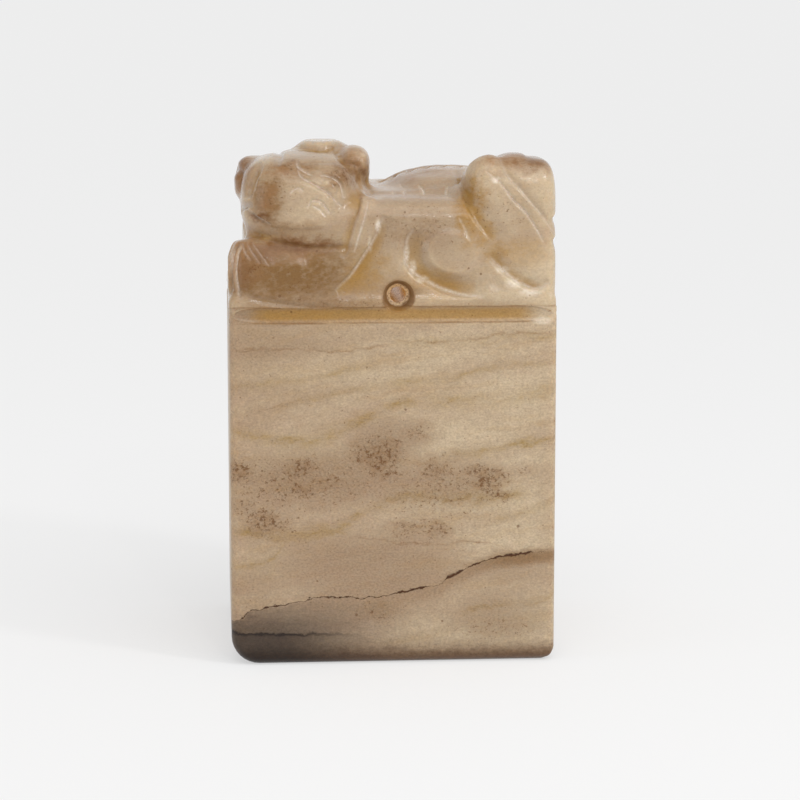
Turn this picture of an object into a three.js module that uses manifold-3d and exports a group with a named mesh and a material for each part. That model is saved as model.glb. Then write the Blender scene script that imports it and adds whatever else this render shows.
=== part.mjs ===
// Seal stamp: a stone block with a seal face below and a recumbent beast carved above as its knob.
// Millimetres, +Z up. The origin is under the middle of the seal face. The beast lies along X with
// its chest at the -X end, and turns both its head and its tail to the near side, which is -Y.
import * as THREE from "three";
import { mergeVertices } from "three/addons/utils/BufferGeometryUtils.js";
import Module from "manifold-3d";

// Block
const BLOCK_WIDTH = 32.6;
const BLOCK_DEPTH = 28;
const BLOCK_TOP = 35;
const UPRIGHT_ROUND = 0.9;
const FOOT_ROUND = 1.4;
const WORN_FOOT_ROUND = 2.8;
const FACE_PLATE = 3;

// Seal face: a raised border and cross round four square spirals, on a ground cut back into it
const ENGRAVING_DEPTH = 0.8;
const BORDER = 1.6;
const CROSS = 1.2;
const STROKE = 1.1;
const STROKE_GAP = 1.1;

// Waist: the wheel-cut groove round the foot of the beast, which stops short of the corners
const WAIST_HEIGHT = 1.1;
const WAIST_GROOVE_DEPTH = 0.7;
const WAIST_GROOVE_HEIGHT = 1.3;
const WAIST_GROOVE_STOPS_SHORT = 2.4;

// Cord hole, drilled through from both flanks with a flared mouth
const HOLE_RADIUS = 0.8;
const HOLE_MOUTH_RADIUS = 1.35;
const HOLE_MOUTH_DEPTH = 1.3;
const HOLE_OFF_CENTRE = 0.5;
const HOLE_ABOVE_WAIST = 1.2;
const HOLE_FACETS = 16;

// How far the beast's flanks and limbs stand in from the sides of the block
const FLANK_INSET = 0.7;
const LIMB_INSET = 0.15;
const UPPER_ARM_INSET = 0.4;

// Heights on the beast, above the waist
const FLANK_TOP = 11;
const RUMP_TOP = 12.8;
const NECK_TOP = 13;
const CHIN_HEIGHT = 5.7;
const CREST_TOP = 16;

// Head
const HEAD_WIDTH = 11.8;
const HEAD_DEPTH = 13;
const HEAD_HEIGHT = 9.2;
const HEAD_FROM_LEFT = 1.7;
const HEAD_SET_BACK = 0.3;
const MUZZLE_WIDTH = 7.6;
const MUZZLE_DEPTH = 6;
const MUZZLE_HEIGHT = 5.2;
const MUZZLE_TO_RIGHT = 0.4;
const MUZZLE_ABOVE_CHIN = 0.2;
const EAR_WIDTH = 3.6;
const EAR_DEPTH = 6.6;
const EAR_HEIGHT = 4.4;
const EAR_SINK = 1.1;
const EAR_SET_BACK = 2.4;
const LEFT_EAR_RISE = 1.9;
const RIGHT_EAR_RISE = 2.7;
const EAR_TILT = 20;
const EAR_TOE_OUT = 8;
const CREST_WIDTH = 5.2;
const CREST_DEPTH = 8;
const CREST_HEIGHT = 3;
const CREST_TO_RIGHT = 2;
const CREST_SET_BACK = 3.4;

// Trunk
const TRUNK_LENGTH = 29;
const TRUNK_OFF_CENTRE = 1.3;
const RUMP_LENGTH = 19;
const RUMP_FROM_RIGHT = 0.2;
const RUMP_INSET = 1.5;
const BELLY_SINK = 2;

// Neck, which runs back from the head to the far side
const NECK_WIDTH = 13.9;
const NECK_DEPTH = 18;
const NECK_HEIGHT = 16.1;
const NECK_FROM_LEFT = 1.9;
const NECK_OFF_CENTRE = 2.9;

// Forelegs: the near one is laid along the block under the chin, the far one is tucked in
const FORELEG_THICKNESS = 6.8;
const FORELEG_HEIGHT = 6.4;
const FORELEG_LENGTH = 10.6;
const PAW_LENGTH = 6.6;
const PAW_HEIGHT = 7;
const PAW_OVERHANG = 0.8;
const LIMB_SINK = 1;
const FAR_FORELEG_TUCK = 2.2;
const FAR_FORELEG_DROP = 1.4;
const UPPER_ARM_RADIUS = 1.9;

// The upper arm's route: back from the right end of the neck, and up from the waist
const UPPER_ARM_ROUTE = [[2, 8.9], [3.2, 6], [5.8, 2.8]];

// Hind legs
const THIGH_LENGTH = 10.4;
const THIGH_THICKNESS = 5.6;
const THIGH_HEIGHT = 9;
const THIGH_FROM_RIGHT = 10.6;
const THIGH_MIDDLE_HEIGHT = 5;
const HIND_FOOT_LENGTH = 13;
const HIND_FOOT_HEIGHT = 2.5;
const SHANK_RADIUS = 2.4;
const SHANK_BEHIND_THIGH = 2;
const SHANK_CLEARANCE = 0.6;
const HEEL_RADIUS = 1.7;
const HEEL_FROM_RIGHT = 3;

// Tail: the root on the right end, and the four locks that spring from it. A lock's route is given
// in from the right end, in from the near side and up from the waist.
const TAIL_ROOT_WIDTH = 8;
const TAIL_ROOT_THICKNESS = 5.2;
const TAIL_ROOT_HEIGHT = 8.6;
const TAIL_ROOT_FROM_NEAR = 15.6;
const NEAR_LOCK_ROUTE = [[1.9, 9.8, 4], [2.8, 3.2, 4.6], [4.6, 2.5, 8.2], [6.6, 2.8, 12.4]];
const NEAR_LOCK_RADII = [1.7, 2.3, 2.3, 2.4];
const MIDDLE_LOCK_ROUTE = [[1.9, 13, 5.6], [1.6, 6, 6.8], [2.2, 2.3, 8.9], [4, 2.1, 11.2], [5.4, 3, 13.1]];
const MIDDLE_LOCK_RADII = [1.6, 1.7, 1.5, 1.5, 1.6];
const UPPER_LOCK_ROUTE = [[2.5, 15.4, 7], [2.4, 12, 9.6], [2.6, 7, 11.3], [2.7, 3.6, 11.4]];
const UPPER_LOCK_RADII = [2.3, 2.6, 2.7, 2.7];
const FAR_LOCK_ROUTE = [[2.5, 17, 4], [2.7, 19.8, 7], [4.4, 20.6, 10]];
const FAR_LOCK_RADII = [2, 2.4, 1.9];

// Carved lines
const LINE_RADIUS = 0.35;
const LINE_END_SHARE = 0.6;
const CLAW_SPACING = 1.5;
const CLAW_LINES = 4;
const MANE_LINES = 6;
const MANE_SPREAD = 1.5;
const HAUNCH_GROOVE_RADIUS = 3.4;
const HAUNCH_GROOVE_CUT = 0.8;
const HAUNCH_GROOVE_SINK = 0.1;
const HAUNCH_GROOVE_ANGLES = [150, 180, 215, 250, 285, 310];

// A claw line's route: in from the front of the paw, and up from the waist
const CLAW_ROUTE = [[1.1, 5.9], [0, 3.4], [0.4, 0.9]];

// Lines on a lump, as shares of its half size: across and up on its near face, back and up on a side
const BROW_LINE = [[0.15, 0.36], [0.36, 0.5], [0.62, 0.42]];
const BROW_OFF_CENTRE = 0.1;
const MOUTH_LINE = [[-0.75, -0.45], [0, -0.18], [0.75, -0.45]];
const MANE_LINE = [[0.05, 1], [0.55, 0.8], [1, 0.3], [1, -0.25]];

// The clearance between neighbouring carved parts, and the facets of the rounded forms
const GAP = 0.3;
const LUMP_AROUND = 18;
const LUMP_RINGS = 11;
const LIMB_AROUND = 12;
const LIMB_STEPS = 8;
const LINE_AROUND = 5;
const LINE_STEPS = 6;
const CAP_STEPS = 3;
const CORNER_STEPS = 3;

const halfWidth = BLOCK_WIDTH / 2;
const halfDepth = BLOCK_DEPTH / 2;
const waistTop = BLOCK_TOP + WAIST_HEIGHT;

// Places on the beast: in from the block's left end, right end or near side, up from the waist.
const fromLeft = (distance) => -halfWidth + distance;
const fromRight = (distance) => halfWidth - distance;
const fromNear = (distance) => -halfDepth + distance;
const above = (height) => waistTop + height;

const wasm = await Module();
wasm.setup();

// A three.js geometry as a solid that can be joined and cut.
function solidOf(geometry) {
  const plain = geometry.index ? geometry.toNonIndexed() : geometry.clone();
  for (const name of Object.keys(plain.attributes)) {
    if (name !== "position") plain.deleteAttribute(name);
  }
  const merged = mergeVertices(plain, 1e-4);
  const vertProperties = new Float32Array(merged.attributes.position.array);
  const triVerts = new Uint32Array(merged.index.array);
  return new wasm.Manifold(new wasm.Mesh({ numProp: 3, vertProperties, triVerts }));
}

// A solid's surface as a three.js geometry.
function geometryOf(solid) {
  const mesh = solid.getMesh();
  const geometry = new THREE.BufferGeometry();
  geometry.setAttribute("position", new THREE.BufferAttribute(mesh.vertProperties, mesh.numProp));
  geometry.setIndex(new THREE.BufferAttribute(mesh.triVerts, 1));
  geometry.computeVertexNormals();
  return geometry;
}

const joined = (solids) => solids.reduce((sum, solid) => sum.add(solid));

// The largest body of a solid, so that a sliver that a cut leaves is dropped.
function largestBody(solid) {
  const bodies = solid.decompose();
  return bodies.reduce((best, body) => (body.volume() > best.volume() ? body : best));
}

// A box between two corners.
function box(low, high) {
  const [width, depth, height] = high.map((value, i) => value - low[i]);
  const geometry = new THREE.BoxGeometry(width, depth, height);
  geometry.translate(low[0] + width / 2, low[1] + depth / 2, low[2] + height / 2);
  return solidOf(geometry);
}

// A point of a lump's surface from its middle in the direction toward, before the lump is turned.
function lumpSurface({ size, square = 2 }, toward, grow = 0) {
  const sum = toward.reduce((total, value) => total + Math.abs(value) ** square, 0);
  const reach = sum ** (-1 / square);
  return toward.map((value, i) => value * reach * (size[i] / 2 + grow));
}

// A rounded lump: an ellipsoid at square 2, and nearer to a box as square rises. Its size is its
// full width, depth and height, turn is in degrees about X, Y and Z, and grow is added all round.
function lump(spec, grow = 0) {
  const geometry = new THREE.SphereGeometry(1, LUMP_AROUND, LUMP_RINGS);
  geometry.rotateX(Math.PI / 2);
  const place = geometry.attributes.position;
  for (let i = 0; i < place.count; i += 1) {
    const toward = [place.getX(i), place.getY(i), place.getZ(i)];
    place.setXYZ(i, ...lumpSurface(spec, toward, grow));
  }
  const [aboutX, aboutY, aboutZ] = (spec.turn ?? [0, 0, 0]).map(THREE.MathUtils.degToRad);
  geometry.rotateX(aboutX).rotateY(aboutY).rotateZ(aboutZ);
  geometry.translate(...spec.at);
  return solidOf(geometry);
}

// The outline of a bar before it is bent: a dome, a shaft of changing radius and another dome.
function barOutline(length, radiusAt, steps) {
  const quarter = Math.PI / 2;
  const outline = [];
  for (let i = 0; i <= CAP_STEPS; i += 1) {
    const angle = (i / CAP_STEPS) * quarter;
    outline.push(new THREE.Vector2(radiusAt(0) * Math.sin(angle), -radiusAt(0) * Math.cos(angle)));
  }
  for (let i = 1; i < steps; i += 1) {
    outline.push(new THREE.Vector2(radiusAt(i / steps), (i / steps) * length));
  }
  for (let i = CAP_STEPS; i >= 0; i -= 1) {
    const angle = (i / CAP_STEPS) * quarter;
    const height = length + radiusAt(1) * Math.cos(angle);
    outline.push(new THREE.Vector2(radiusAt(1) * Math.sin(angle), height));
  }
  return outline;
}

// A bar along a smooth path, made as a lathe form and then bent. Its radii change evenly from one
// end to the other, and it is widened by flatness in the direction across.
function bar({ path, radii, across = [0, 1, 0], flatness = 1, around, steps }, grow = 0) {
  const curve = new THREE.CatmullRomCurve3(path.map((point) => new THREE.Vector3(...point)));
  const sizes = new THREE.CatmullRomCurve3(radii.map((r, i) => new THREE.Vector3(i, r, 0)));
  const length = curve.getLength();
  const outline = barOutline(length, (t) => sizes.getPoint(t).y + grow, steps);
  const geometry = new THREE.LatheGeometry(outline, around);
  const wide = new THREE.Vector3(...across);
  const place = geometry.attributes.position;
  for (let i = 0; i < place.count; i += 1) {
    const along = place.getY(i);
    const t = THREE.MathUtils.clamp(along / length, 0, 1);
    const ahead = curve.getTangentAt(t);
    const sideways = wide.clone().addScaledVector(ahead, -ahead.dot(wide)).normalize();
    const upward = ahead.clone().cross(sideways);
    const point = curve.getPointAt(t).addScaledVector(ahead, along - t * length);
    point.addScaledVector(sideways, place.getZ(i) * flatness);
    point.addScaledVector(upward, place.getX(i));
    place.setXYZ(i, point.x, point.y, point.z);
  }
  return solidOf(geometry);
}

const limb = (spec, grow) => bar({ around: LIMB_AROUND, steps: LIMB_STEPS, ...spec }, grow);

// A carved line: the round-bottomed cut that a small wheel leaves along a path.
function line(path, radius = LINE_RADIUS, across = [0, 1, 0]) {
  const radii = [LINE_END_SHARE * radius, radius, LINE_END_SHARE * radius];
  return bar({ path, radii, across, around: LINE_AROUND, steps: LINE_STEPS });
}

// A prism along Z with an outline whose corners are rounded, given from the lower left corner
// round to the right. It is turned afterwards where it has to lie along X or Y.
function roundedPrism(width, height, length, rounds) {
  const [lowLeft, lowRight, highRight, highLeft] = rounds;
  const x = width / 2;
  const y = height / 2;
  const corner = Math.PI / 2;
  const shape = new THREE.Shape();
  const arc = (centreX, centreY, radius, start) => {
    if (radius > 0) shape.absarc(centreX, centreY, radius, start, start + corner, false);
    else shape.lineTo(centreX, centreY);
  };
  shape.moveTo(-x + lowLeft, -y);
  arc(x - lowRight, -y + lowRight, lowRight, -corner);
  arc(x - highRight, y - highRight, highRight, 0);
  arc(-x + highLeft, y - highLeft, highLeft, corner);
  arc(-x + lowLeft, -y + lowLeft, lowLeft, 2 * corner);
  const options = { depth: length, bevelEnabled: false, curveSegments: CORNER_STEPS };
  return new THREE.ExtrudeGeometry(shape, options).translate(0, 0, -length / 2);
}

// The whole block: an upright prism whose foot is rounded along X and along Y.
function blockForm() {
  const reach = 2 * (BLOCK_WIDTH + BLOCK_DEPTH);
  const middle = waistTop / 2;
  const uprights = Array(4).fill(UPRIGHT_ROUND);
  const plan = roundedPrism(BLOCK_WIDTH, BLOCK_DEPTH, waistTop, uprights);
  const front = roundedPrism(BLOCK_WIDTH, waistTop, reach, [WORN_FOOT_ROUND, FOOT_ROUND, 0, 0]);
  const side = roundedPrism(waistTop, BLOCK_DEPTH, reach, [FOOT_ROUND, 0, 0, FOOT_ROUND]);
  front.rotateX(Math.PI / 2);
  side.rotateY(-Math.PI / 2);
  const [upright, alongY, alongX] = [plan, front, side].map((geometry) =>
    solidOf(geometry.translate(0, 0, middle)),
  );
  return upright.intersect(alongY).intersect(alongX);
}

// The slice of the block between two heights.
function layer(low, high) {
  const reach = BLOCK_WIDTH + BLOCK_DEPTH;
  return blockForm().intersect(box([-reach, -reach, low], [reach, reach, high]));
}

// The ends of the straight runs of a square spiral that winds in from the corner at 0, 0.
function spiralRuns(width, height) {
  const pitch = STROKE + STROKE_GAP;
  const points = [[0, 0]];
  for (let turn = 0; ; turn += 1) {
    const level = turn % 2 === 0;
    const lost = level ? Math.max(0, turn / 2 - 1) : (turn - 1) / 2;
    const length = (level ? width : height) - lost * pitch;
    if (length < pitch) return points;
    const [x, y] = points.at(-1);
    const forward = turn % 4 < 2 ? length : -length;
    points.push(level ? [x + forward, y] : [x, y + forward]);
  }
}

// The raised strokes of one of the four fields, which lie at the signs of sideX and sideY.
function fieldStrokes(sideX, sideY) {
  const inner = CROSS / 2 + STROKE_GAP + STROKE / 2;
  const rim = FOOT_ROUND + BORDER + STROKE_GAP + STROKE / 2;
  const runs = spiralRuns(halfWidth - rim - inner, halfDepth - rim - inner);
  return runs.slice(1).map(([toX, toY], i) => {
    const [fromX, fromY] = runs[i];
    const xs = [fromX, toX].map((x) => sideX * (inner + x));
    const ys = [fromY, toY].map((y) => sideY * (inner + y));
    const low = [Math.min(...xs) - STROKE / 2, Math.min(...ys) - STROKE / 2, 0];
    const high = [Math.max(...xs) + STROKE / 2, Math.max(...ys) + STROKE / 2, FACE_PLATE];
    return box(low, high);
  });
}

function sealFace() {
  const plate = layer(0, FACE_PLATE);
  const fieldX = halfWidth - FOOT_ROUND - BORDER;
  const fieldY = halfDepth - FOOT_ROUND - BORDER;
  const ground = box([-fieldX, -fieldY, -FACE_PLATE], [fieldX, fieldY, ENGRAVING_DEPTH]);
  const strokes = [
    box([-CROSS / 2, -fieldY, 0], [CROSS / 2, fieldY, FACE_PLATE]),
    box([-fieldX, -CROSS / 2, 0], [fieldX, CROSS / 2, FACE_PLATE]),
    ...[-1, 1].flatMap((sideX) => [-1, 1].flatMap((sideY) => fieldStrokes(sideX, sideY))),
  ];
  return plate.subtract(ground.subtract(joined(strokes)));
}

// The waist has a groove along each side, with rounded ends that leave the corners whole.
function waist() {
  const middle = BLOCK_TOP + WAIST_HEIGHT / 2;
  const reachX = halfWidth - WAIST_GROOVE_STOPS_SHORT;
  const reachY = halfDepth - WAIST_GROOVE_STOPS_SHORT;
  const radii = [WAIST_GROOVE_HEIGHT / 2, WAIST_GROOVE_HEIGHT / 2];
  const flatness = (2 * WAIST_GROOVE_DEPTH) / WAIST_GROOVE_HEIGHT;
  const groove = (from, to, across) => limb({ path: [from, to], radii, across, flatness });
  const grooves = [-1, 1].flatMap((side) => {
    const y = side * halfDepth;
    const x = side * halfWidth;
    return [
      groove([-reachX, y, middle], [reachX, y, middle], [0, 1, 0]),
      groove([x, -reachY, middle], [x, reachY, middle], [1, 0, 0]),
    ];
  });
  return layer(BLOCK_TOP, waistTop).subtract(joined(grooves));
}

// The cord hole: a straight bore with a cone at each mouth.
function cordHole() {
  const flankAt = halfDepth - FLANK_INSET;
  const beyond = FLANK_INSET + HOLE_MOUTH_DEPTH;
  const flare = (HOLE_MOUTH_RADIUS - HOLE_RADIUS) / HOLE_MOUTH_DEPTH;
  const outer = HOLE_MOUTH_RADIUS + flare * beyond;
  const outline = [
    new THREE.Vector2(0, -flankAt - beyond),
    new THREE.Vector2(outer, -flankAt - beyond),
    new THREE.Vector2(HOLE_RADIUS, -flankAt + HOLE_MOUTH_DEPTH),
    new THREE.Vector2(HOLE_RADIUS, flankAt - HOLE_MOUTH_DEPTH),
    new THREE.Vector2(outer, flankAt + beyond),
    new THREE.Vector2(0, flankAt + beyond),
  ];
  const geometry = new THREE.LatheGeometry(outline, HOLE_FACETS);
  geometry.translate(HOLE_OFF_CENTRE, 0, above(HOLE_ABOVE_WAIST));
  return solidOf(geometry);
}

// The near side of the beast is side -1 and its far side is side 1.
const NEAR = -1;
const FAR = 1;

// The stone's colours: the pale body, the honey of the hollows, the russet skin of the high places
const PALE = 0xbea98a;
const HONEY = 0xa98f66;
const RUSSET = 0xad8f74;
const POLISH = 0.22;

// The middle of the skull, on which the ears and the crest are placed too
const skullX = fromLeft(HEAD_FROM_LEFT + HEAD_WIDTH / 2);
const skullY = fromNear(LIMB_INSET + HEAD_SET_BACK + HEAD_DEPTH / 2);
const skullZ = above(CHIN_HEIGHT + HEAD_HEIGHT / 2);

// Points on a lump's near face, each given as how far across and how far up it is from the middle.
function onFace(spec, places) {
  return places.map(([across, up]) =>
    lumpSurface(spec, [across, NEAR, up]).map((value, axis) => value + spec.at[axis]),
  );
}

function head() {
  const skullSize = [HEAD_WIDTH, HEAD_DEPTH, HEAD_HEIGHT];
  const skull = { at: [skullX, skullY, skullZ], size: skullSize, square: 2.8 };
  const muzzleY = fromNear(LIMB_INSET + MUZZLE_DEPTH / 2);
  const muzzleZ = above(CHIN_HEIGHT + MUZZLE_ABOVE_CHIN + MUZZLE_HEIGHT / 2);
  const muzzleSize = [MUZZLE_WIDTH, MUZZLE_DEPTH, MUZZLE_HEIGHT];
  const muzzle = { at: [skullX + MUZZLE_TO_RIGHT, muzzleY, muzzleZ], size: muzzleSize, square: 2.5 };
  const browOn = (side) => BROW_LINE.map(([across, up]) => [BROW_OFF_CENTRE + side * across, up]);
  const routes = [onFace(skull, browOn(-1)), onFace(skull, browOn(1)), onFace(muzzle, MOUTH_LINE)];
  const lines = routes.map((route) => line(route));
  return { name: "head", colour: PALE, lumps: [skull, muzzle], lines };
}

function crest() {
  const z = above(CREST_TOP - CREST_HEIGHT / 2);
  const at = [skullX + CREST_TO_RIGHT, skullY + CREST_SET_BACK, z];
  const lumps = [{ at, size: [CREST_WIDTH, CREST_DEPTH, CREST_HEIGHT], square: 2.3 }];
  return { name: "crest", colour: RUSSET, lumps };
}

function ear(name, side, rise) {
  const at = [skullX + side * (HEAD_WIDTH / 2 - EAR_SINK), skullY + EAR_SET_BACK, skullZ + rise];
  const size = [EAR_WIDTH, EAR_DEPTH, EAR_HEIGHT];
  const turn = [0, side * EAR_TILT, side * EAR_TOE_OUT];
  return { name, colour: RUSSET, lumps: [{ at, size, turn }] };
}

// The neck runs from behind the head to the far side, and its mane is combed down the far side.
function neck() {
  const size = [NECK_WIDTH, NECK_DEPTH, NECK_HEIGHT];
  const x = fromLeft(NECK_FROM_LEFT + NECK_WIDTH / 2);
  const at = [x, NECK_OFF_CENTRE, above(NECK_TOP - NECK_HEIGHT / 2)];
  const nape = { at, size, square: 3.2 };
  const lines = [];
  for (let i = 0; i < MANE_LINES; i += 1) {
    const spread = (i / (MANE_LINES - 1) - 0.5) * MANE_SPREAD;
    const points = MANE_LINE.map(([back, up]) => {
      const toward = [spread * (0.45 + 0.4 * back), back, up];
      return lumpSurface(nape, toward).map((value, axis) => value + at[axis]);
    });
    lines.push(line(points, LINE_RADIUS, [1, 0, 0]));
  }
  return { name: "neck_and_mane", colour: RUSSET, lumps: [nape], lines };
}

function torso() {
  const flankTall = FLANK_TOP + BELLY_SINK;
  const flankAt = [TRUNK_OFF_CENTRE, 0, above(FLANK_TOP - flankTall / 2)];
  const rumpX = fromRight(RUMP_FROM_RIGHT + RUMP_LENGTH / 2);
  const rumpTall = RUMP_TOP + BELLY_SINK;
  const rumpAt = [rumpX, 0, above(RUMP_TOP - rumpTall / 2)];
  const lumps = [
    { at: flankAt, size: [TRUNK_LENGTH, BLOCK_DEPTH - 2 * FLANK_INSET, flankTall], square: 5 },
    { at: rumpAt, size: [RUMP_LENGTH, BLOCK_DEPTH - 2 * RUMP_INSET, rumpTall], square: 2.4 },
  ];
  return { name: "torso", colour: PALE, lumps };
}

// A foreleg: an upper arm that slants down from the shoulder, the forearm and the paw.
function foreleg(name, side, tuck, drop) {
  const y = side * (halfDepth - LIMB_INSET - FORELEG_THICKNESS / 2);
  const armX = fromLeft(tuck + PAW_OVERHANG + FORELEG_LENGTH / 2);
  const armTall = FORELEG_HEIGHT - drop + LIMB_SINK;
  const pawTall = PAW_HEIGHT - drop + LIMB_SINK;
  const lumps = [
    {
      at: [armX, y, above(FORELEG_HEIGHT - drop - armTall / 2)],
      size: [FORELEG_LENGTH, FORELEG_THICKNESS, armTall],
      square: 2.8,
    },
    {
      at: [fromLeft(tuck + PAW_LENGTH / 2), y, above(PAW_HEIGHT - drop - pawTall / 2)],
      size: [PAW_LENGTH, FORELEG_THICKNESS, pawTall],
      square: 2.6,
    },
  ];
  const neckEnd = fromLeft(NECK_FROM_LEFT + NECK_WIDTH);
  const armY = side * (halfDepth - UPPER_ARM_INSET - UPPER_ARM_RADIUS);
  const armPath = UPPER_ARM_ROUTE.map(([back, up], i) => {
    const lowered = i < UPPER_ARM_ROUTE.length - 1 ? up - drop : up;
    return [neckEnd - back, armY, above(lowered)];
  });
  const bars = [{ path: armPath, radii: Array(armPath.length).fill(UPPER_ARM_RADIUS) }];
  const lines = [];
  for (let i = 0; i < CLAW_LINES; i += 1) {
    const lineY = y + (i - (CLAW_LINES - 1) / 2) * CLAW_SPACING;
    const top = CLAW_ROUTE[0][1];
    const route = CLAW_ROUTE.map(([back, up]) => {
      return [fromLeft(tuck + back), lineY, above(up - drop * (up / top))];
    });
    lines.push(line(route));
  }
  return { name, colour: HONEY, lumps, bars, lines };
}

// A hind leg: the thigh, whose knob is ringed by a groove on its front and foot, and the hind foot.
function hindLeg(name, side) {
  const y = side * (halfDepth - LIMB_INSET - THIGH_THICKNESS / 2);
  const thighX = fromRight(THIGH_FROM_RIGHT);
  const thighZ = above(THIGH_MIDDLE_HEIGHT);
  const footTall = HIND_FOOT_HEIGHT + LIMB_SINK;
  const footAt = [fromRight(HIND_FOOT_LENGTH / 2), y, above(HIND_FOOT_HEIGHT - footTall / 2)];
  const lumps = [
    { at: [thighX, y, thighZ], size: [THIGH_LENGTH, THIGH_THICKNESS, THIGH_HEIGHT], square: 2.3 },
    { at: footAt, size: [HIND_FOOT_LENGTH, THIGH_THICKNESS, footTall], square: 3 },
  ];
  const shankFrom = [thighX + SHANK_BEHIND_THIGH, y, above(SHANK_RADIUS + SHANK_CLEARANCE)];
  const heelAt = [fromRight(HEEL_FROM_RIGHT), y, above(HEEL_RADIUS)];
  const shank = { path: [shankFrom, heelAt], radii: [SHANK_RADIUS, HEEL_RADIUS] };
  const grooveY = side * (halfDepth - LIMB_INSET - HAUNCH_GROOVE_SINK);
  const groove = HAUNCH_GROOVE_ANGLES.map((degrees) => {
    const angle = THREE.MathUtils.degToRad(degrees);
    const x = thighX + HAUNCH_GROOVE_RADIUS * Math.cos(angle);
    return [x, grooveY, thighZ + HAUNCH_GROOVE_RADIUS * Math.sin(angle)];
  });
  return { name, colour: PALE, lumps, bars: [shank], lines: [line(groove, HAUNCH_GROOVE_CUT)] };
}

// The tail's root stands on the right end. Three of its locks sweep round to the near side and up
// over the rump, and the fourth curls to the far side.
function tailRoot() {
  const tall = TAIL_ROOT_HEIGHT + LIMB_SINK;
  const size = [TAIL_ROOT_THICKNESS, TAIL_ROOT_WIDTH, tall];
  const x = fromRight(TAIL_ROOT_THICKNESS / 2);
  const at = [x, fromNear(TAIL_ROOT_FROM_NEAR), above(TAIL_ROOT_HEIGHT - tall / 2)];
  return { name: "tail_root", colour: PALE, lumps: [{ at, size, square: 2.4 }] };
}

// A lock of the tail, which is wider than thick by flatness in the direction across.
function lock(name, colour, route, radii, across, flatness) {
  const path = route.map(([right, near, up]) => [fromRight(right), fromNear(near), above(up)]);
  return { name, colour, bars: [{ path, radii, across, flatness }] };
}

// The carved elements in the order in which they keep their shape: a later one gives way to all
// that come before it.
const elements = [
  head(),
  crest(),
  ear("left_ear", -1, LEFT_EAR_RISE),
  ear("right_ear", 1, RIGHT_EAR_RISE),
  foreleg("near_foreleg", NEAR, 0, 0),
  foreleg("far_foreleg", FAR, FAR_FORELEG_TUCK, FAR_FORELEG_DROP),
  lock("tail_near_lock", PALE, NEAR_LOCK_ROUTE, NEAR_LOCK_RADII, [0.3, 1, 0.3], 1),
  lock("tail_middle_lock", PALE, MIDDLE_LOCK_ROUTE, MIDDLE_LOCK_RADII, [0.3, 1, 0.3], 1),
  lock("tail_upper_lock", RUSSET, UPPER_LOCK_ROUTE, UPPER_LOCK_RADII, [0, 1, 0.6], 1),
  lock("tail_far_lock", PALE, FAR_LOCK_ROUTE, FAR_LOCK_RADII, [0, 1, -0.3], 1.25),
  tailRoot(),
  hindLeg("near_hind_leg", NEAR),
  hindLeg("far_hind_leg", FAR),
  neck(),
  torso(),
];

function formOf({ lumps = [], bars = [] }, grow) {
  const round = lumps.map((spec) => lump(spec, grow));
  const long = bars.map((spec) => limb(spec, grow));
  return joined([...round, ...long]);
}

function carvedBeast() {
  const room = box([-halfWidth, -halfDepth, waistTop], [halfWidth, halfDepth, above(CREST_TOP)]);
  const hole = cordHole();
  let taken = hole;
  return elements.map((element) => {
    const cuts = joined([taken, ...(element.lines ?? [])]);
    const solid = largestBody(formOf(element, 0).intersect(room).subtract(cuts));
    taken = taken.add(formOf(element, GAP));
    return { name: element.name, colour: element.colour, solid };
  });
}

const stone = [
  { name: "seal_face", colour: HONEY, solid: sealFace() },
  { name: "seal_block", colour: PALE, solid: layer(FACE_PLATE, BLOCK_TOP) },
  { name: "waist", colour: HONEY, solid: waist() },
  ...carvedBeast(),
];

const sealStamp = new THREE.Group();
for (const { name, colour, solid } of stone) {
  const material = new THREE.MeshStandardMaterial({ color: colour, roughness: POLISH, metalness: 0 });
  const mesh = new THREE.Mesh(geometryOf(solid), material);
  mesh.name = name;
  sealStamp.add(mesh);
}

export default sealStamp;
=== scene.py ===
"""Looks of a small stone seal: a polished block with a recumbent beast carved on top as its knob.

The seal is one piece of stone, so one closed skin stands for all the carved elements of the frame.
Shapes are worked out in millimetres and turned to metres at the end.
"""

import logging
import math
from collections.abc import Sequence
from dataclasses import dataclass
from enum import Enum

import bmesh
import bpy
import numpy as np
from mathutils import Matrix, Vector


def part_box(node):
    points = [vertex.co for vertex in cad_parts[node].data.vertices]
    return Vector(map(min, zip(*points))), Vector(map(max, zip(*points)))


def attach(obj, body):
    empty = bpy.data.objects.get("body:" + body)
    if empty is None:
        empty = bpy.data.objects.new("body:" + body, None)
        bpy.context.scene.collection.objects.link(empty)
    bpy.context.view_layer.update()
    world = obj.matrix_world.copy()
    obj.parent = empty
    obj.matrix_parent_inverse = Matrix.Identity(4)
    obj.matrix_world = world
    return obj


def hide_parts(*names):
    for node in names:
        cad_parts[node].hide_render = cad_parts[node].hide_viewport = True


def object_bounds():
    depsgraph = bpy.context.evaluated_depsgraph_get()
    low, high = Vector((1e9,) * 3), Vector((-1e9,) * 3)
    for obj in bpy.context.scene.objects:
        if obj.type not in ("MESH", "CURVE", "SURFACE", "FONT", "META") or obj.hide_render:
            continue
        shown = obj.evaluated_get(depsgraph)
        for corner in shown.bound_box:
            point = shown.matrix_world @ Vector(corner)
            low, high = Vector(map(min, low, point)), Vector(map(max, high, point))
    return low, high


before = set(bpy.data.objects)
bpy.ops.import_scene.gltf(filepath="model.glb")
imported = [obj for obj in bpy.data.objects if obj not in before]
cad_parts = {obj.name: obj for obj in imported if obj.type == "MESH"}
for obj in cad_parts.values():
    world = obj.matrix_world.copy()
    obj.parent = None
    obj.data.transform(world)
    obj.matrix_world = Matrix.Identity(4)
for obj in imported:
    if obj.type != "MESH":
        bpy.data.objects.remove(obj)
cad_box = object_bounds()

log = logging.getLogger("seal")

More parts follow.
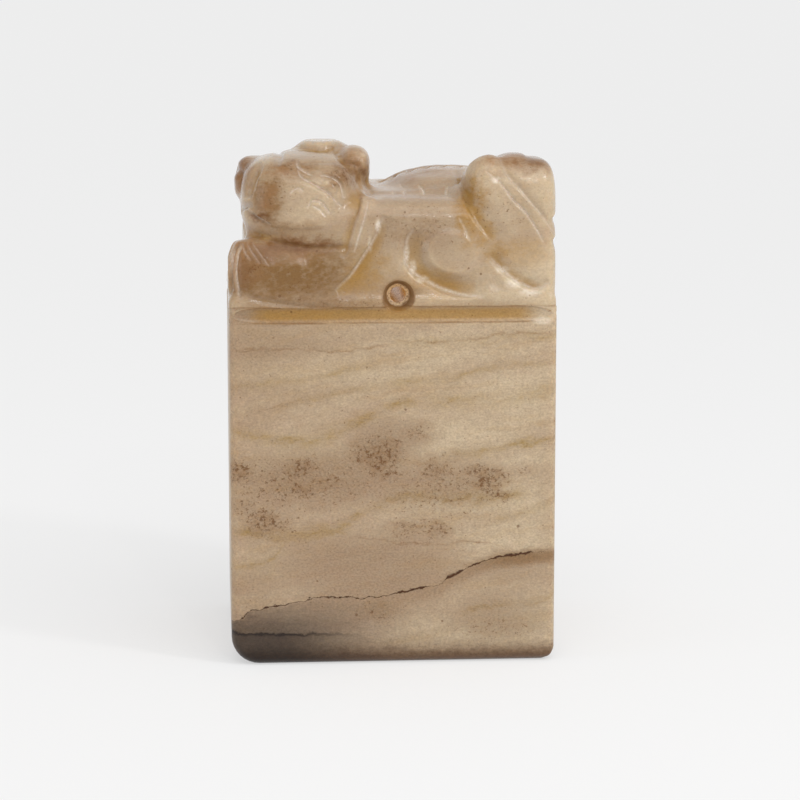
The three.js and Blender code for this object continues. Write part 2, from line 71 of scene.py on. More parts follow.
# Short names of the kinds of value that functions take and give
Piece = bpy.types.Object
Shape = bmesh.types.BMesh
Tree = bpy.types.NodeTree
Socket = bpy.types.NodeSocket
Value = Socket | float | int | tuple[float, ...]
Place = tuple[float, float, float]
Points = tuple[tuple[float, float], ...]

MM = 0.001
BLOCK_NODES = ("seal_face", "seal_block", "waist")
GROOVE_MIDDLE = 35.45

# Where the near face of the block lies along Y
NEAR_FACE = -14.0

# Points that are closer than this are one, and the skin stays this far inside the frame's box
TOUCH = 0.001
CLEARANCE = 0.01

# A face with a normal whose Z is below this looks down
DOWN = -0.99

# How fast a cut fades in as the surface turns to its side, and how many of its widths it reaches
FACING = 2.5
FADE = 3.2

# Faces that meet at more than this many degrees have a sharp edge
SHARP = 35

# The reach of the stone's pattern along X to both sides, and up from the seal face
REACH = 18.0
SPAN = 40.0


def linear(colour: str) -> tuple[float, float, float, float]:
    """Turns an sRGB hex colour to the linear values that shaders use.

    Args:
        colour: six hex digits after a hash sign.

    Returns:
        Red, green, blue, and an alpha of 1.
    """
    channels = (int(colour[i : i + 2], 16) / 255 for i in (1, 3, 5))
    red, green, blue = (c / 12.92 if c <= 0.04045 else ((c + 0.055) / 1.055) ** 2.4 for c in channels)
    return red, green, blue, 1.0


def corners(node: str) -> tuple[Vector, Vector]:
    """Gives the lowest and the highest corner of a node of the frame, in millimetres."""
    low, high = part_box(node)
    return low / MM, high / MM


def piece_of(name: str, shape: Shape) -> Piece:
    """Makes an object in the scene from a bmesh, and frees the bmesh.

    Args:
        name: the object's name.
        shape: the bmesh.

    Returns:
        The new object.
    """
    mesh = bpy.data.meshes.new(name)
    shape.to_mesh(mesh)
    shape.free()
    piece = bpy.data.objects.new(name, mesh)
    bpy.context.scene.collection.objects.link(piece)
    return piece


def settle(piece: Piece) -> None:
    """Replaces a piece's mesh by what its modifiers make of it.

    Args:
        piece: the piece.
    """
    view = bpy.context.evaluated_depsgraph_get()
    made = bpy.data.meshes.new_from_object(piece.evaluated_get(view))
    piece.modifiers.clear()
    old = piece.data
    piece.data = made
    bpy.data.meshes.remove(old)


def combine(piece: Piece, tool: Piece, operation: str) -> None:
    """Joins a closed tool to a closed piece or cuts it away, and removes the tool.

    Args:
        piece: the piece that changes.
        tool: what is joined or cut away.
        operation: UNION or DIFFERENCE.
    """
    cut = piece.modifiers.new("cut", "BOOLEAN")
    cut.solver = "MANIFOLD"
    cut.operation = operation
    cut.object = tool
    settle(piece)
    mesh = tool.data
    bpy.data.objects.remove(tool)
    bpy.data.meshes.remove(mesh)


def read_places(mesh: bpy.types.Mesh) -> np.ndarray:
    """Reads the places of a mesh's vertices.

    Args:
        mesh: the mesh.

    Returns:
        The places as rows.
    """
    places = np.empty(len(mesh.vertices) * 3, np.float32)
    mesh.vertices.foreach_get("co", places)
    return places.reshape(-1, 3).astype(float)


def read_normals(mesh: bpy.types.Mesh) -> np.ndarray:
    """Reads the directions in which a mesh's vertices face.

    Args:
        mesh: the mesh.

    Returns:
        The normals as rows.
    """
    normals = np.empty(len(mesh.vertices) * 3, np.float32)
    mesh.vertex_normals.foreach_get("vector", normals)
    return normals.reshape(-1, 3).astype(float)


def write_places(mesh: bpy.types.Mesh, places: np.ndarray) -> None:
    """Moves a mesh's vertices to new places."""
    mesh.vertices.foreach_set("co", places.astype(np.float32).ravel())
    mesh.update()


def store(mesh: bpy.types.Mesh, name: str, values: np.ndarray) -> None:
    """Stores a value for each vertex as an attribute that materials can read."""
    attribute = mesh.attributes.new(name, "FLOAT", "POINT")
    attribute.data.foreach_set("value", values.astype(np.float32))


class Side(Enum):
    """A side of the beast that lines are carved into: its two flat axes and its inward direction."""

    NEAR = (0, 2, (0.0, 1.0, 0.0))
    FAR = (0, 2, (0.0, -1.0, 0.0))
    LEFT = (1, 2, (1.0, 0.0, 0.0))
    RIGHT = (1, 2, (-1.0, 0.0, 0.0))
    TOP = (0, 1, (0.0, 0.0, -1.0))


@dataclass(frozen=True)
class Cut:
    """A line cut with a grinding wheel, in millimetres on the plane of its side.

    Attributes:
        side: the side that it is cut into.
        path: the points that it runs through.
        depth: how deep it is in its middle. A negative depth raises a rim.
        left: how wide it fades out on the left of its direction of travel.
        right: how wide it fades out on the right.
        ends: the share of its length over which it runs out at each end.
        pale: how pale its floor is, which the polish doesn't reach. The paleness is also a painted highlight
            along the line.
    """

    side: Side
    path: Points
    depth: float
    left: float
    right: float
    ends: float = 0.25
    pale: float = 0.0


def smooth_path(points: Sequence[tuple[float, float]], steps: int = 12) -> np.ndarray:
    """Runs a smooth curve through points.

    Args:
        points: the points.
        steps: the number of pieces between two points.

    Returns:
        The curve's points as rows.
    """
    known = np.array(points, float)
    padded = np.vstack([2 * known[0] - known[1], known, 2 * known[-1] - known[-2]])
    rows = []
    for i in range(1, len(padded) - 2):
        before, start, end, after = padded[i - 1 : i + 3]
        for t in np.linspace(0, 1, steps, endpoint=False):
            rows.append(
                0.5
                * (
                    2 * start
                    + (end - before) * t
                    + (2 * before - 5 * start + 4 * end - after) * t**2
                    + (3 * start - before - 3 * end + after) * t**3
                )
            )
    rows.append(known[-1])
    return np.array(rows)


def cut_depth(cut: Cut, places: np.ndarray, normals: np.ndarray) -> np.ndarray:
    """Works out how far a cut goes in at each place.

    Args:
        cut: the cut.
        places: the places, as rows of millimetres.
        normals: the surface's direction at each.

    Returns:
        The depth at each place.
    """
    across, up, inward = cut.side.value
    facing = np.clip(-(normals @ np.array(inward)) * FACING, 0, 1)
    flat = places[:, [across, up]]
    curve = smooth_path(cut.path)
    reach = FADE * max(cut.left, cut.right)
    low, high = curve.min(0) - reach, curve.max(0) + reach
    chosen = np.flatnonzero((facing > 0) & np.all((flat > low) & (flat < high), axis=1))
    depth = np.zeros(len(places))
    if len(chosen) == 0:
        return depth
    points = flat[chosen]
    best = np.full(len(points), np.inf)
    offset = np.zeros(len(points))
    along = np.zeros(len(points))
    lengths = np.linalg.norm(np.diff(curve, axis=0), axis=1)
    total = lengths.sum()
    gone = 0.0
    for start, end, length in zip(curve[:-1], curve[1:], lengths):
        ahead = (end - start) / length
        t = np.clip((points - start) @ ahead, 0, length)
        gap = points - (start + t[:, None] * ahead)
        distance = np.hypot(gap[:, 0], gap[:, 1])
        closer = distance < best
        best = np.where(closer, distance, best)
        side_sign = np.sign(ahead[0] * gap[:, 1] - ahead[1] * gap[:, 0])
        offset = np.where(closer, side_sign, offset)
        along = np.where(closer, (gone + t) / total, along)
        gone += length
    width = np.where(offset > 0, cut.left, cut.right)
    taper = np.clip(np.minimum(along, 1 - along) / max(cut.ends, 1e-6), 0, 1)
    taper = np.sqrt(taper) if cut.ends > 0 else np.ones_like(taper)
    depth[chosen] = cut.depth * np.exp(-((best / width) ** 2)) * taper
    return depth * facing


@dataclass(frozen=True)
class Lump:
    """A rounded lump of the form: an ellipsoid at square 2, and nearer to a box as square rises.

    Attributes:
        at: its middle, in millimetres.
        size: its full width, depth and height.
        square: how square it is.
        lean: how far it leans to the right about its middle, in degrees, as the near side sees it.
    """

    at: Place
    size: Place
    square: float = 2.5
    lean: float = 0.0

    def build(self) -> Shape:
        """Makes the lump from a sphere whose points are drawn out to its surface.

        Returns:
            The lump.
        """
        shape = bmesh.new()
        bmesh.ops.create_icosphere(shape, subdivisions=5, radius=1)
        for vert in shape.verts:
            reach = sum(abs(value) ** self.square for value in vert.co) ** (-1 / self.square)
            vert.co = Vector(value * reach * side / 2 for value, side in zip(vert.co, self.size))
        turn = Matrix.Rotation(math.radians(self.lean), 4, "Y")
        bmesh.ops.transform(shape, matrix=Matrix.Translation(self.at) @ turn, verts=shape.verts)
        return shape


def join(into: Shape, shape: Shape) -> None:
    """Adds one bmesh to another, and frees it.

    Args:
        into: the bmesh that grows.
        shape: the bmesh that is added.
    """
    mesh = bpy.data.meshes.new("part")
    shape.to_mesh(mesh)
    shape.free()
    into.from_mesh(mesh)
    bpy.data.meshes.remove(mesh)


def round_off(shape: Shape, edges: list[bmesh.types.BMEdge], radius: float, segments: int) -> None:
    """Rounds edges of a bmesh.

    Args:
        shape: the bmesh.
        edges: its edges that are rounded.
        radius: their radius.
        segments: the number of facets round each.
    """
    bmesh.ops.bevel(
        shape, geom=edges, offset=radius, affect="EDGES", segments=segments, profile=0.5, material=-1
    )


def reskin(piece: Piece, fineness: float, wear: int) -> None:
    """Gives overlapping bodies one closed skin of even faces, and wears it smooth.

    Args:
        piece: the piece.
        fineness: the edge length of its faces.
        wear: how many times it is smoothed.
    """
    skin = piece.modifiers.new("skin", "REMESH")
    skin.mode = "VOXEL"
    skin.voxel_size = fineness
    worn = piece.modifiers.new("worn", "SMOOTH")
    worn.factor = 0.5
    worn.iterations = wear
    settle(piece)


FACE_CUTS = (
    # the cheek against the neck
    Cut(Side.NEAR, ((-3.0, 50.7), (-3.0, 48.5), (-3.4, 46.3), (-4.0, 44.3), (-4.9, 41.0)), 0.32, 0.2, 0.8),
    Cut(Side.NEAR, ((-2.4, 46.6), (-2.9, 44.9), (-3.5, 43.0), (-3.9, 41.6)), 0.12, 0.12, 0.16, pale=0.5),
    # under the chin
    Cut(
        Side.NEAR, ((-13.8, 43.3), (-12.6, 43.0), (-11.2, 42.65), (-9.2, 42.3), (-7.2, 42.15), (-4.1, 42.3)),
        0.25, 0.2, 0.4, 0.4,
    ),
    # the fold of the cheek
    Cut(Side.NEAR, ((-14.8, 45.9), (-13.5, 45.1), (-12.0, 44.3)), 0.32, 0.13, 0.3, pale=0.3),
    Cut(Side.LEFT, ((-12.6, 46.3), (-9.5, 45.6), (-7.0, 44.9)), 0.4, 0.35, 0.2),
    # the left ear
    Cut(
        Side.NEAR, ((-12.9, 50.4), (-13.5, 49.6), (-13.9, 48.8), (-14.15, 47.9), (-14.3, 46.9)),
        0.65, 0.3, 0.3,
    ),
    Cut(Side.NEAR, ((-12.8, 50.0), (-13.4, 49.0), (-13.7, 47.6)), 0.2, 0.15, 0.13, pale=0.3),
    Cut(Side.LEFT, ((-8.6, 47.6), (-6.6, 49.3), (-3.6, 49.2)), 0.4, 0.45, 0.6),
    # the topknot's foot, and the fold before the right ear
    Cut(Side.TOP, ((-11.2, -12.6), (-10.9, -8.0), (-11.1, -2.5)), 0.3, 0.5, 0.3),
    Cut(Side.NEAR, ((-10.2, 51.5), (-9.0, 51.5), (-6.4, 51.6), (-4.9, 52.0)), 0.5, 0.2, 0.4),
    Cut(Side.NEAR, ((-5.6, 51.9), (-5.4, 51.0), (-4.6, 50.3), (-3.2, 49.9)), 0.2, 0.2, 0.2),
    Cut(Side.NEAR, ((-9.4, 50.4), (-6.0, 50.4), (-3.4, 50.3)), 0.1, 0.2, 0.2),
    # the brows
    Cut(Side.NEAR, ((-9.4, 50.7), (-9.3, 50.1), (-8.6, 49.6), (-7.8, 49.2)), 0.24, 0.12, 0.22, pale=0.7),
    Cut(
        Side.NEAR, ((-9.4, 49.9), (-9.0, 49.1), (-7.8, 48.4), (-6.4, 47.5), (-5.0, 46.0)),
        0.24, 0.12, 0.22, pale=0.7,
    ),
    # the eye
    Cut(
        Side.NEAR, ((-7.2, 49.1), (-6.7, 49.2), (-5.8, 48.9), (-5.1, 48.2), (-4.9, 46.9)),
        0.24, 0.22, 0.12, pale=0.6,
    ),
    Cut(Side.NEAR, ((-6.9, 48.6), (-6.1, 48.1), (-5.7, 47.5)), -0.2, 0.4, 0.4),
    # the nose and the lip
    Cut(Side.NEAR, ((-10.2, 47.5), (-9.7, 47.9), (-9.2, 48.0), (-8.8, 47.7)), 0.18, 0.12, 0.2, pale=0.6),
    Cut(
        Side.NEAR, ((-8.5, 46.0), (-8.1, 46.7), (-7.5, 46.8), (-7.0, 46.5), (-6.2, 45.5)),
        0.2, 0.12, 0.18, pale=0.7,
    ),
    Cut(Side.NEAR, ((-8.0, 46.3), (-7.3, 45.9), (-6.7, 45.2)), 0.1, 0.1, 0.12, pale=0.6),
    Cut(Side.NEAR, ((-12.9, 44.2), (-11.2, 44.0), (-9.2, 43.9), (-7.2, 44.0), (-6.0, 44.2)), 0.1, 0.16, 0.3),
    # the chin seen from the front of the seal
    Cut(Side.LEFT, ((-12.8, 43.3), (-8.0, 42.9), (-3.0, 42.6), (0.4, 43.4)), 0.4, 0.3, 0.4),
)


def leg_cuts(side: Side) -> tuple[Cut, ...]:
    """Gives the lines that both flanks have: the shoulder, the ring of the haunch, the hock and the ribs.

    Args:
        side: the flank.

    Returns:
        Its lines.
    """
    return (
        # behind the shoulder
        Cut(
            side, ((-0.9, 45.3), (-1.8, 43.1), (-2.9, 41.3), (-4.3, 39.3), (-5.8, 37.9)),
            0.5, 1.3, 0.2, 0.35, 0.55,
        ),
        # the ring of the haunch, the soft groove inside it, and the knob in its middle
        Cut(
            side,
            (
                (2.0, 43.9), (1.4, 42.9), (1.25, 41.2), (1.8, 39.8), (3.1, 38.8), (4.9, 37.9), (7.0, 37.4),
                (9.2, 37.2),
            ),
            0.5, 1.2, 0.26, 0.25, 0.6,
        ),
        Cut(
            side, ((3.4, 43.9), (2.6, 42.6), (2.5, 41.2), (3.3, 39.8), (4.8, 38.9), (6.6, 38.5), (8.2, 38.4)),
            0.3, 0.8, 0.8,
        ),
        Cut(side, ((5.0, 41.9), (6.0, 41.8)), -0.35, 1.7, 1.7, 0.0),
        # a crease at the top of the haunch
        Cut(side, ((6.4, 45.1), (7.0, 44.0), (7.6, 42.6)), 0.07, 0.12, 0.25, pale=0.35),
        # the hock
        Cut(
            side,
            ((9.4, 41.3), (10.0, 40.6), (10.8, 39.8), (12.3, 38.7), (13.6, 38.0), (14.6, 38.0), (15.6, 38.5)),
            0.5, 1.0, 0.24, 0.25, 0.6,
        ),
        # under the foreleg
        Cut(side, ((-14.5, 37.3), (-12.2, 36.8), (-9.3, 36.4), (-5.8, 36.3)), 0.2, 0.3, 0.3),
        # ribs at the edge of the back
        *(
            Cut(side, ((x + slant, 47.8), (x + 0.12, 47.3), (x, 46.7)), 0.16, 0.12, 0.14, 0.4, 0.8)
            for x, slant in ((0.2, 0.1), (1.3, -0.1), (3.2, -0.25), (5.5, 0.3))
        ),
    )


PAW_CUTS = (
    # the left edge of the near paw, and the fine lines on it
    Cut(Side.NEAR, ((-15.3, 43.0), (-15.9, 42.0), (-16.1, 40.0), (-15.9, 37.8)), 0.25, 0.14, 0.14, pale=0.8),
    Cut(Side.NEAR, ((-14.9, 42.4), (-15.4, 41.4), (-15.6, 39.5), (-15.2, 37.3)), 0.25, 0.2, 0.14, pale=0.7),
    *(
        Cut(
            Side.NEAR, ((-14.9 + 0.5 * i, 42.6), (-14.6 + 0.7 * i, 41.7), (-14.0 + 0.9 * i, 40.9 - 0.3 * i)),
            0.08, 0.1, 0.15, pale=0.25,
        )
        for i in range(3)
    ),
    # the claws of the near paw and of the far one
    *(Cut(Side.LEFT, ((y, 42.6), (y - 0.1, 40.2), (y, 37.4)), 0.45, 0.3, 0.3) for y in (-12.4, -10.7, -9.0)),
    *(Cut(Side.LEFT, ((y, 41.2), (y + 0.1, 39.4), (y, 37.2)), 0.45, 0.3, 0.3) for y in (8.8, 10.4, 12.0)),
    # the chest between the forelegs
    Cut(Side.LEFT, ((-6.9, 42.0), (-6.3, 39.5), (-6.6, 37.2)), 0.6, 0.5, 0.4),
    Cut(Side.LEFT, ((6.8, 41.6), (6.3, 39.2), (6.6, 37.2)), 0.6, 0.4, 0.5),
)

TAIL_CUTS = (
    # the tail against the flank
    Cut(
        Side.NEAR,
        ((8.1, 50.8), (7.3, 49.6), (6.9, 48.5), (6.9, 47.7), (7.3, 46.4), (8.4, 44.5), (9.8, 42.7)),
        0.32, 0.8, 0.2,
    ),
    # the parting of the locks on the near side
    Cut(
        Side.NEAR, ((9.1, 49.6), (10.5, 48.5), (11.8, 46.8), (13.0, 45.6), (14.2, 43.8), (14.9, 42.5)),
        0.2, 0.14, 0.14, pale=0.7,
    ),
    Cut(
        Side.NEAR, ((10.7, 50.9), (11.1, 49.4), (12.4, 47.9), (13.6, 46.5), (14.9, 44.9), (16.2, 43.1)),
        0.18, 0.35, 0.14, pale=0.3,
    ),
    # the same partings round the right end, and the root
    Cut(Side.RIGHT, ((2.4, 40.8), (-2.0, 42.2), (-7.0, 42.9), (-13.6, 42.6)), 0.5, 0.8, 0.25),
    Cut(Side.RIGHT, ((2.2, 43.4), (-2.5, 45.0), (-7.5, 45.7), (-13.6, 44.6)), 0.5, 0.8, 0.25),
    Cut(Side.RIGHT, ((-2.3, 36.9), (-2.7, 38.8), (-4.6, 40.2), (-9.0, 40.4)), 0.55, 0.3, 0.8),
    Cut(Side.RIGHT, ((6.0, 36.9), (6.1, 39.5), (5.2, 42.4)), 0.55, 0.8, 0.3),
    Cut(Side.RIGHT, ((3.4, 43.6), (6.4, 45.4), (8.6, 47.8)), 0.45, 0.3, 0.6),
    # the far lock
    Cut(Side.FAR, ((9.0, 48.6), (8.4, 46.9), (9.2, 44.8), (11.2, 43.0), (13.2, 41.8)), 0.6, 0.9, 0.25),
    Cut(Side.FAR, ((11.0, 48.0), (11.3, 46.4), (12.8, 44.6), (15.0, 43.3)), 0.35, 0.5, 0.2),
    # the locks from above
    Cut(Side.TOP, ((10.4, -13.2), (10.6, -9.0), (11.8, -3.0)), 0.1, 0.2, 0.4),
    Cut(Side.TOP, ((13.4, -12.4), (13.6, -8.0), (13.8, -2.0)), 0.07, 0.2, 0.4),
)

MANE_CUTS = (
    # the nape on the near side
    Cut(Side.NEAR, ((-2.7, 49.6), (-2.3, 48.4), (-1.7, 47.0)), 0.4, 0.2, 0.4),
    # strands combed back from the topknot and down the far side
    *(
        Cut(
            Side.TOP, ((-10.6 + 1.45 * i, -0.6), (-11.2 + 1.6 * i, 3.4), (-11.8 + 1.75 * i, 8.4)),
            0.4, 0.5, 0.25,
        )
        for i in range(6)
    ),
    *(
        Cut(
            Side.FAR, ((-12.4 + 1.8 * i, 48.4), (-12.9 + 1.9 * i, 45.2), (-12.0 + 1.9 * i, 42.0)),
            0.4, 0.5, 0.25,
        )
        for i in range(6)
    ),
    *(
        Cut(Side.LEFT, ((0.8 + 2.0 * i, 48.8), (1.5 + 2.0 * i, 45.8), (0.7 + 2.0 * i, 42.6)), 0.4, 0.25, 0.5)
        for i in range(5)
    ),
    # the topknot
    *(Cut(Side.TOP, ((x, -6.6), (x + 0.3, -2.4)), 0.12, 0.2, 0.2) for x in (-7.7, -6.6, -5.5)),
    # the spine and what branches from it
    Cut(Side.TOP, ((-0.6, 0.3), (3.0, 0.2), (6.6, 0.4), (9.6, 0.4)), 0.3, 0.35, 0.35),
    *(
        Cut(Side.TOP, ((0.4 + 1.7 * i, 0.3 + 2.4 * way), (1.2 + 1.7 * i, 0.3)), 0.2, 0.25, 0.25, 0.4)
        for i in range(5)
        for way in (-1, 1)
    ),
)

CUTS = (*FACE_CUTS, *leg_cuts(Side.NEAR), *leg_cuts(Side.FAR), *PAW_CUTS, *TAIL_CUTS, *MANE_CUTS)

FORMS = (
    # trunk: flank, and the back that rises towards the rump
    Lump((1.3, 0.0, 40.5), (29.0, 27.4, 13.0), 8.0),
    Lump((6.6, 0.3, 41.9), (19.0, 25.0, 13.8), 2.4),
    # the hollow between the back and the tail is shallow
    Lump((7.4, -6.5, 45.8), (4.2, 12.4, 4.8), 2.2),
    # ears
    Lump((-13.75, -5.0, 48.3), (3.0, 7.2, 4.7), 2.4, 26.0),
    Lump((-3.7, -6.6, 49.5), (3.4, 7.4, 4.6), 2.4, 14.0),
    # head, and the shoulder that runs down from it
    Lump((-9.1, -7.2, 46.55), (11.7, 13.5, 9.0), 3.2),
    Lump((-3.9, -9.2, 41.3), (5.2, 9.0, 11.4), 2.8, 30.0),
    # foreleg and paw
    Lump((-9.6, -9.9, 38.7), (13.0, 7.9, 6.9), 5.0),
    Lump((-13.2, -10.2, 39.2), (6.2, 7.4, 8.0), 3.2),
    # haunch, and the rump's end
    Lump((5.8, -10.0, 41.0), (10.8, 7.8, 9.6), 3.2),
    Lump((13.0, -9.6, 40.4), (6.6, 8.6, 9.4), 6.0),
    # tail
    Lump((11.6, -9.2, 46.2), (8.7, 9.4, 9.4), 3.0, -14.0),
    Lump((13.5, -9.2, 44.6), (5.7, 9.4, 12.2), 4.2),
)


@dataclass
class Beast:
    """The recumbent beast: its form from the frame's nodes, smoothed and then carved.

    Attributes:
        rough: the edge length of the faces of the first skin, which loses the facets.
        fineness: the edge length of the faces of the last skin.
        wear: how many times each skin is smoothed.
        swell: how far each element grows, so that the gaps between them close.
        foot: the height at which the beast rises from the block.
        step_height: the height of the low step at its feet.
        step_rise: how far above the foot the middle of the step lies.
        step_inset: how much narrower than the block the step is.
        step_round: the radius of the step's edges.
        margin: how far beyond a line the skin is finer.
        close: the share of a line's full depth at which a place counts as close to it.
        fine_line: the width below which a line gets a skin that is finer still.
        pale_glint_width: the greatest half width of a line's pale floor, which is also a painted highlight.
    """

    rough: float = 0.5
    fineness: float = 0.27
    wear: int = 8
    swell: float = 0.32
    foot: float = 36.1
    step_height: float = 2.6
    step_rise: float = 0.2
    step_inset: float = 0.04
    step_round: float = 0.8
    margin: float = 0.27
    close: float = 0.3
    fine_line: float = 0.16
    pale_glint_width: float = 0.16

    def elements(self) -> Piece:
        """Joins grown copies of the beast's nodes under one rounded skin.

        Returns:
            The skin, in millimetres.
        """
        joint = bmesh.new()
        for name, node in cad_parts.items():
            if name in BLOCK_NODES:
                continue
            part = bmesh.new()
            part.from_mesh(node.data)
            bmesh.ops.transform(part, matrix=Matrix.Scale(1 / MM, 4), verts=part.verts)
            bmesh.ops.remove_doubles(part, verts=part.verts, dist=TOUCH)
            part.normal_update()
            for vert in part.verts:
                vert.co += vert.normal * self.swell
            join(joint, part)
        piece = piece_of("beast", joint)
        reskin(piece, self.rough, self.wear)
        return piece

    def step(self) -> Shape:
        """Makes the low step at the beast's feet, which lies flush with the block.

        Returns:
            The step.
        """
        shape = bmesh.new()
        low, high = corners("waist")
        bmesh.ops.create_cube(shape, size=1)
        width, depth = high.x - low.x - self.step_inset, high.y - low.y - self.step_inset
        size = Matrix.Diagonal((width, depth, self.step_height, 1))
        middle = Matrix.Translation((0, 0, self.foot + self.step_rise))
        bmesh.ops.transform(shape, matrix=middle @ size, verts=shape.verts)
        round_off(shape, shape.edges[:], self.step_round, 4)
        return shape

    def clay(self) -> Piece:
        """Builds the form before any line is carved.

        Returns:
            The beast's object, in millimetres.
        """
        piece = self.elements()
        joint = bmesh.new()
        joint.from_mesh(piece.data)
        for form in FORMS:
            join(joint, form.build())
        join(joint, self.step())
        joint.to_mesh(piece.data)
        joint.free()
        reskin(piece, self.fineness, self.wear)
        return piece

    def refine(self, piece: Piece, cuts: Sequence[Cut], margin: float) -> None:
        """Divides the skin's faces along narrow lines, so that the lines stay crisp.

        Args:
            piece: the skin.
            cuts: the lines.
            margin: how far beyond each line the faces are divided.
        """
        places = read_places(piece.data)
        normals = read_normals(piece.data)
        close = np.zeros(len(places), bool)
        for cut in cuts:
            width = min(cut.left, cut.right) + margin
            band = Cut(cut.side, cut.path, 1.0, width, width, 0.0)
            close |= cut_depth(band, places, normals) > self.close
        shape = bmesh.new()
        shape.from_mesh(piece.data)
        chosen = {
            edge for face in shape.faces if all(close[v.index] for v in face.verts) for edge in face.edges
        }
        bmesh.ops.subdivide_edges(shape, edges=list(chosen), cuts=1, use_grid_fill=True)
        bmesh.ops.triangulate(shape, faces=[face for face in shape.faces if len(face.verts) > 4])
        shape.to_mesh(piece.data)
        shape.free()

    def carve(self, piece: Piece) -> None:
        """Sinks the carved lines into the form.

        Args:
            piece: the form.
        """
        self.refine(piece, CUTS, self.margin)
        fine = [cut for cut in CUTS if min(cut.left, cut.right) < self.fine_line]
        self.refine(piece, fine, self.margin / 2)
        places = read_places(piece.data)
        normals = read_normals(piece.data)
        depth = np.zeros(len(places))
        pale = np.zeros(len(places))
        for cut in CUTS:
            depth += cut_depth(cut, places, normals)
            # the pale floor of a line is also a painted highlight along it
            if cut.pale:
                width = min(cut.left, cut.right, self.pale_glint_width)
                line = Cut(cut.side, cut.path, cut.pale, width, width, cut.ends)
                pale = np.maximum(pale, cut_depth(line, places, normals))
        store(piece.data, "pale", pale)
        places -= normals * depth[:, None]
        low, high = (np.array(corner) / MM for corner in cad_box)
        write_places(piece.data, np.clip(places, low + CLEARANCE, high - CLEARANCE))

    def build(self) -> Piece:
        """Makes the beast's form and carves its lines.

        Returns:
            The beast, in millimetres.
        """
        piece = self.clay()
        self.carve(piece)
        return piece


def find_hollows(piece: Piece, foot: float, rise: float = 0.6, spread: int = 150) -> None:
    """Stores how far each point lies below the even surface round it, as the attribute hollow.

    Args:
        piece: the piece, in millimetres.
        foot: the height under which nothing counts as hollow.
        rise: how far above the foot a hollow counts in full.
        spread: how many times the places are evened out.
    """
    mesh = piece.data
    places = read_places(mesh)
    normals = read_normals(mesh)
    ends = np.empty(len(mesh.edges) * 2, np.int32)
    mesh.edges.foreach_get("vertices", ends)
    first, second = ends.reshape(-1, 2).T
    count = len(places)
    number = np.bincount(first, minlength=count) + np.bincount(second, minlength=count)
    even = places.copy()
    for _ in range(spread):
        around = np.empty_like(even)
        for axis in range(3):
            column = even[:, axis]
            around[:, axis] = np.bincount(first, column[second], count)
            around[:, axis] += np.bincount(second, column[first], count)
        even = 0.5 * even + 0.5 * around / number[:, None]
    hollow = np.sum((even - places) * normals, axis=1) * np.clip((places[:, 2] - foot) / rise, 0, 1)
    store(mesh, "hollow", hollow)


def turned(profile: Sequence[tuple[float, float]], steps: int = 32) -> Shape:
    """Turns a profile about the Y axis.

    Args:
        profile: the outline as places along Y and radii, from the axis to the axis.
        steps: the number of facets round.

    Returns:
        The closed form.
    """
    shape = bmesh.new()
    points = [shape.verts.new((radius, along, 0)) for along, radius in profile]
    edges = [shape.edges.new(pair) for pair in zip(points, points[1:])]
    bmesh.ops.spin(
        shape,
        geom=points + edges,
        cent=(0, 0, 0),
        axis=(0, 1, 0),
        angle=math.tau,
        steps=steps,
        use_merge=True,
    )
    bmesh.ops.remove_doubles(shape, verts=shape.verts, dist=TOUCH)
    bmesh.ops.recalc_face_normals(shape, faces=shape.faces)
    return shape


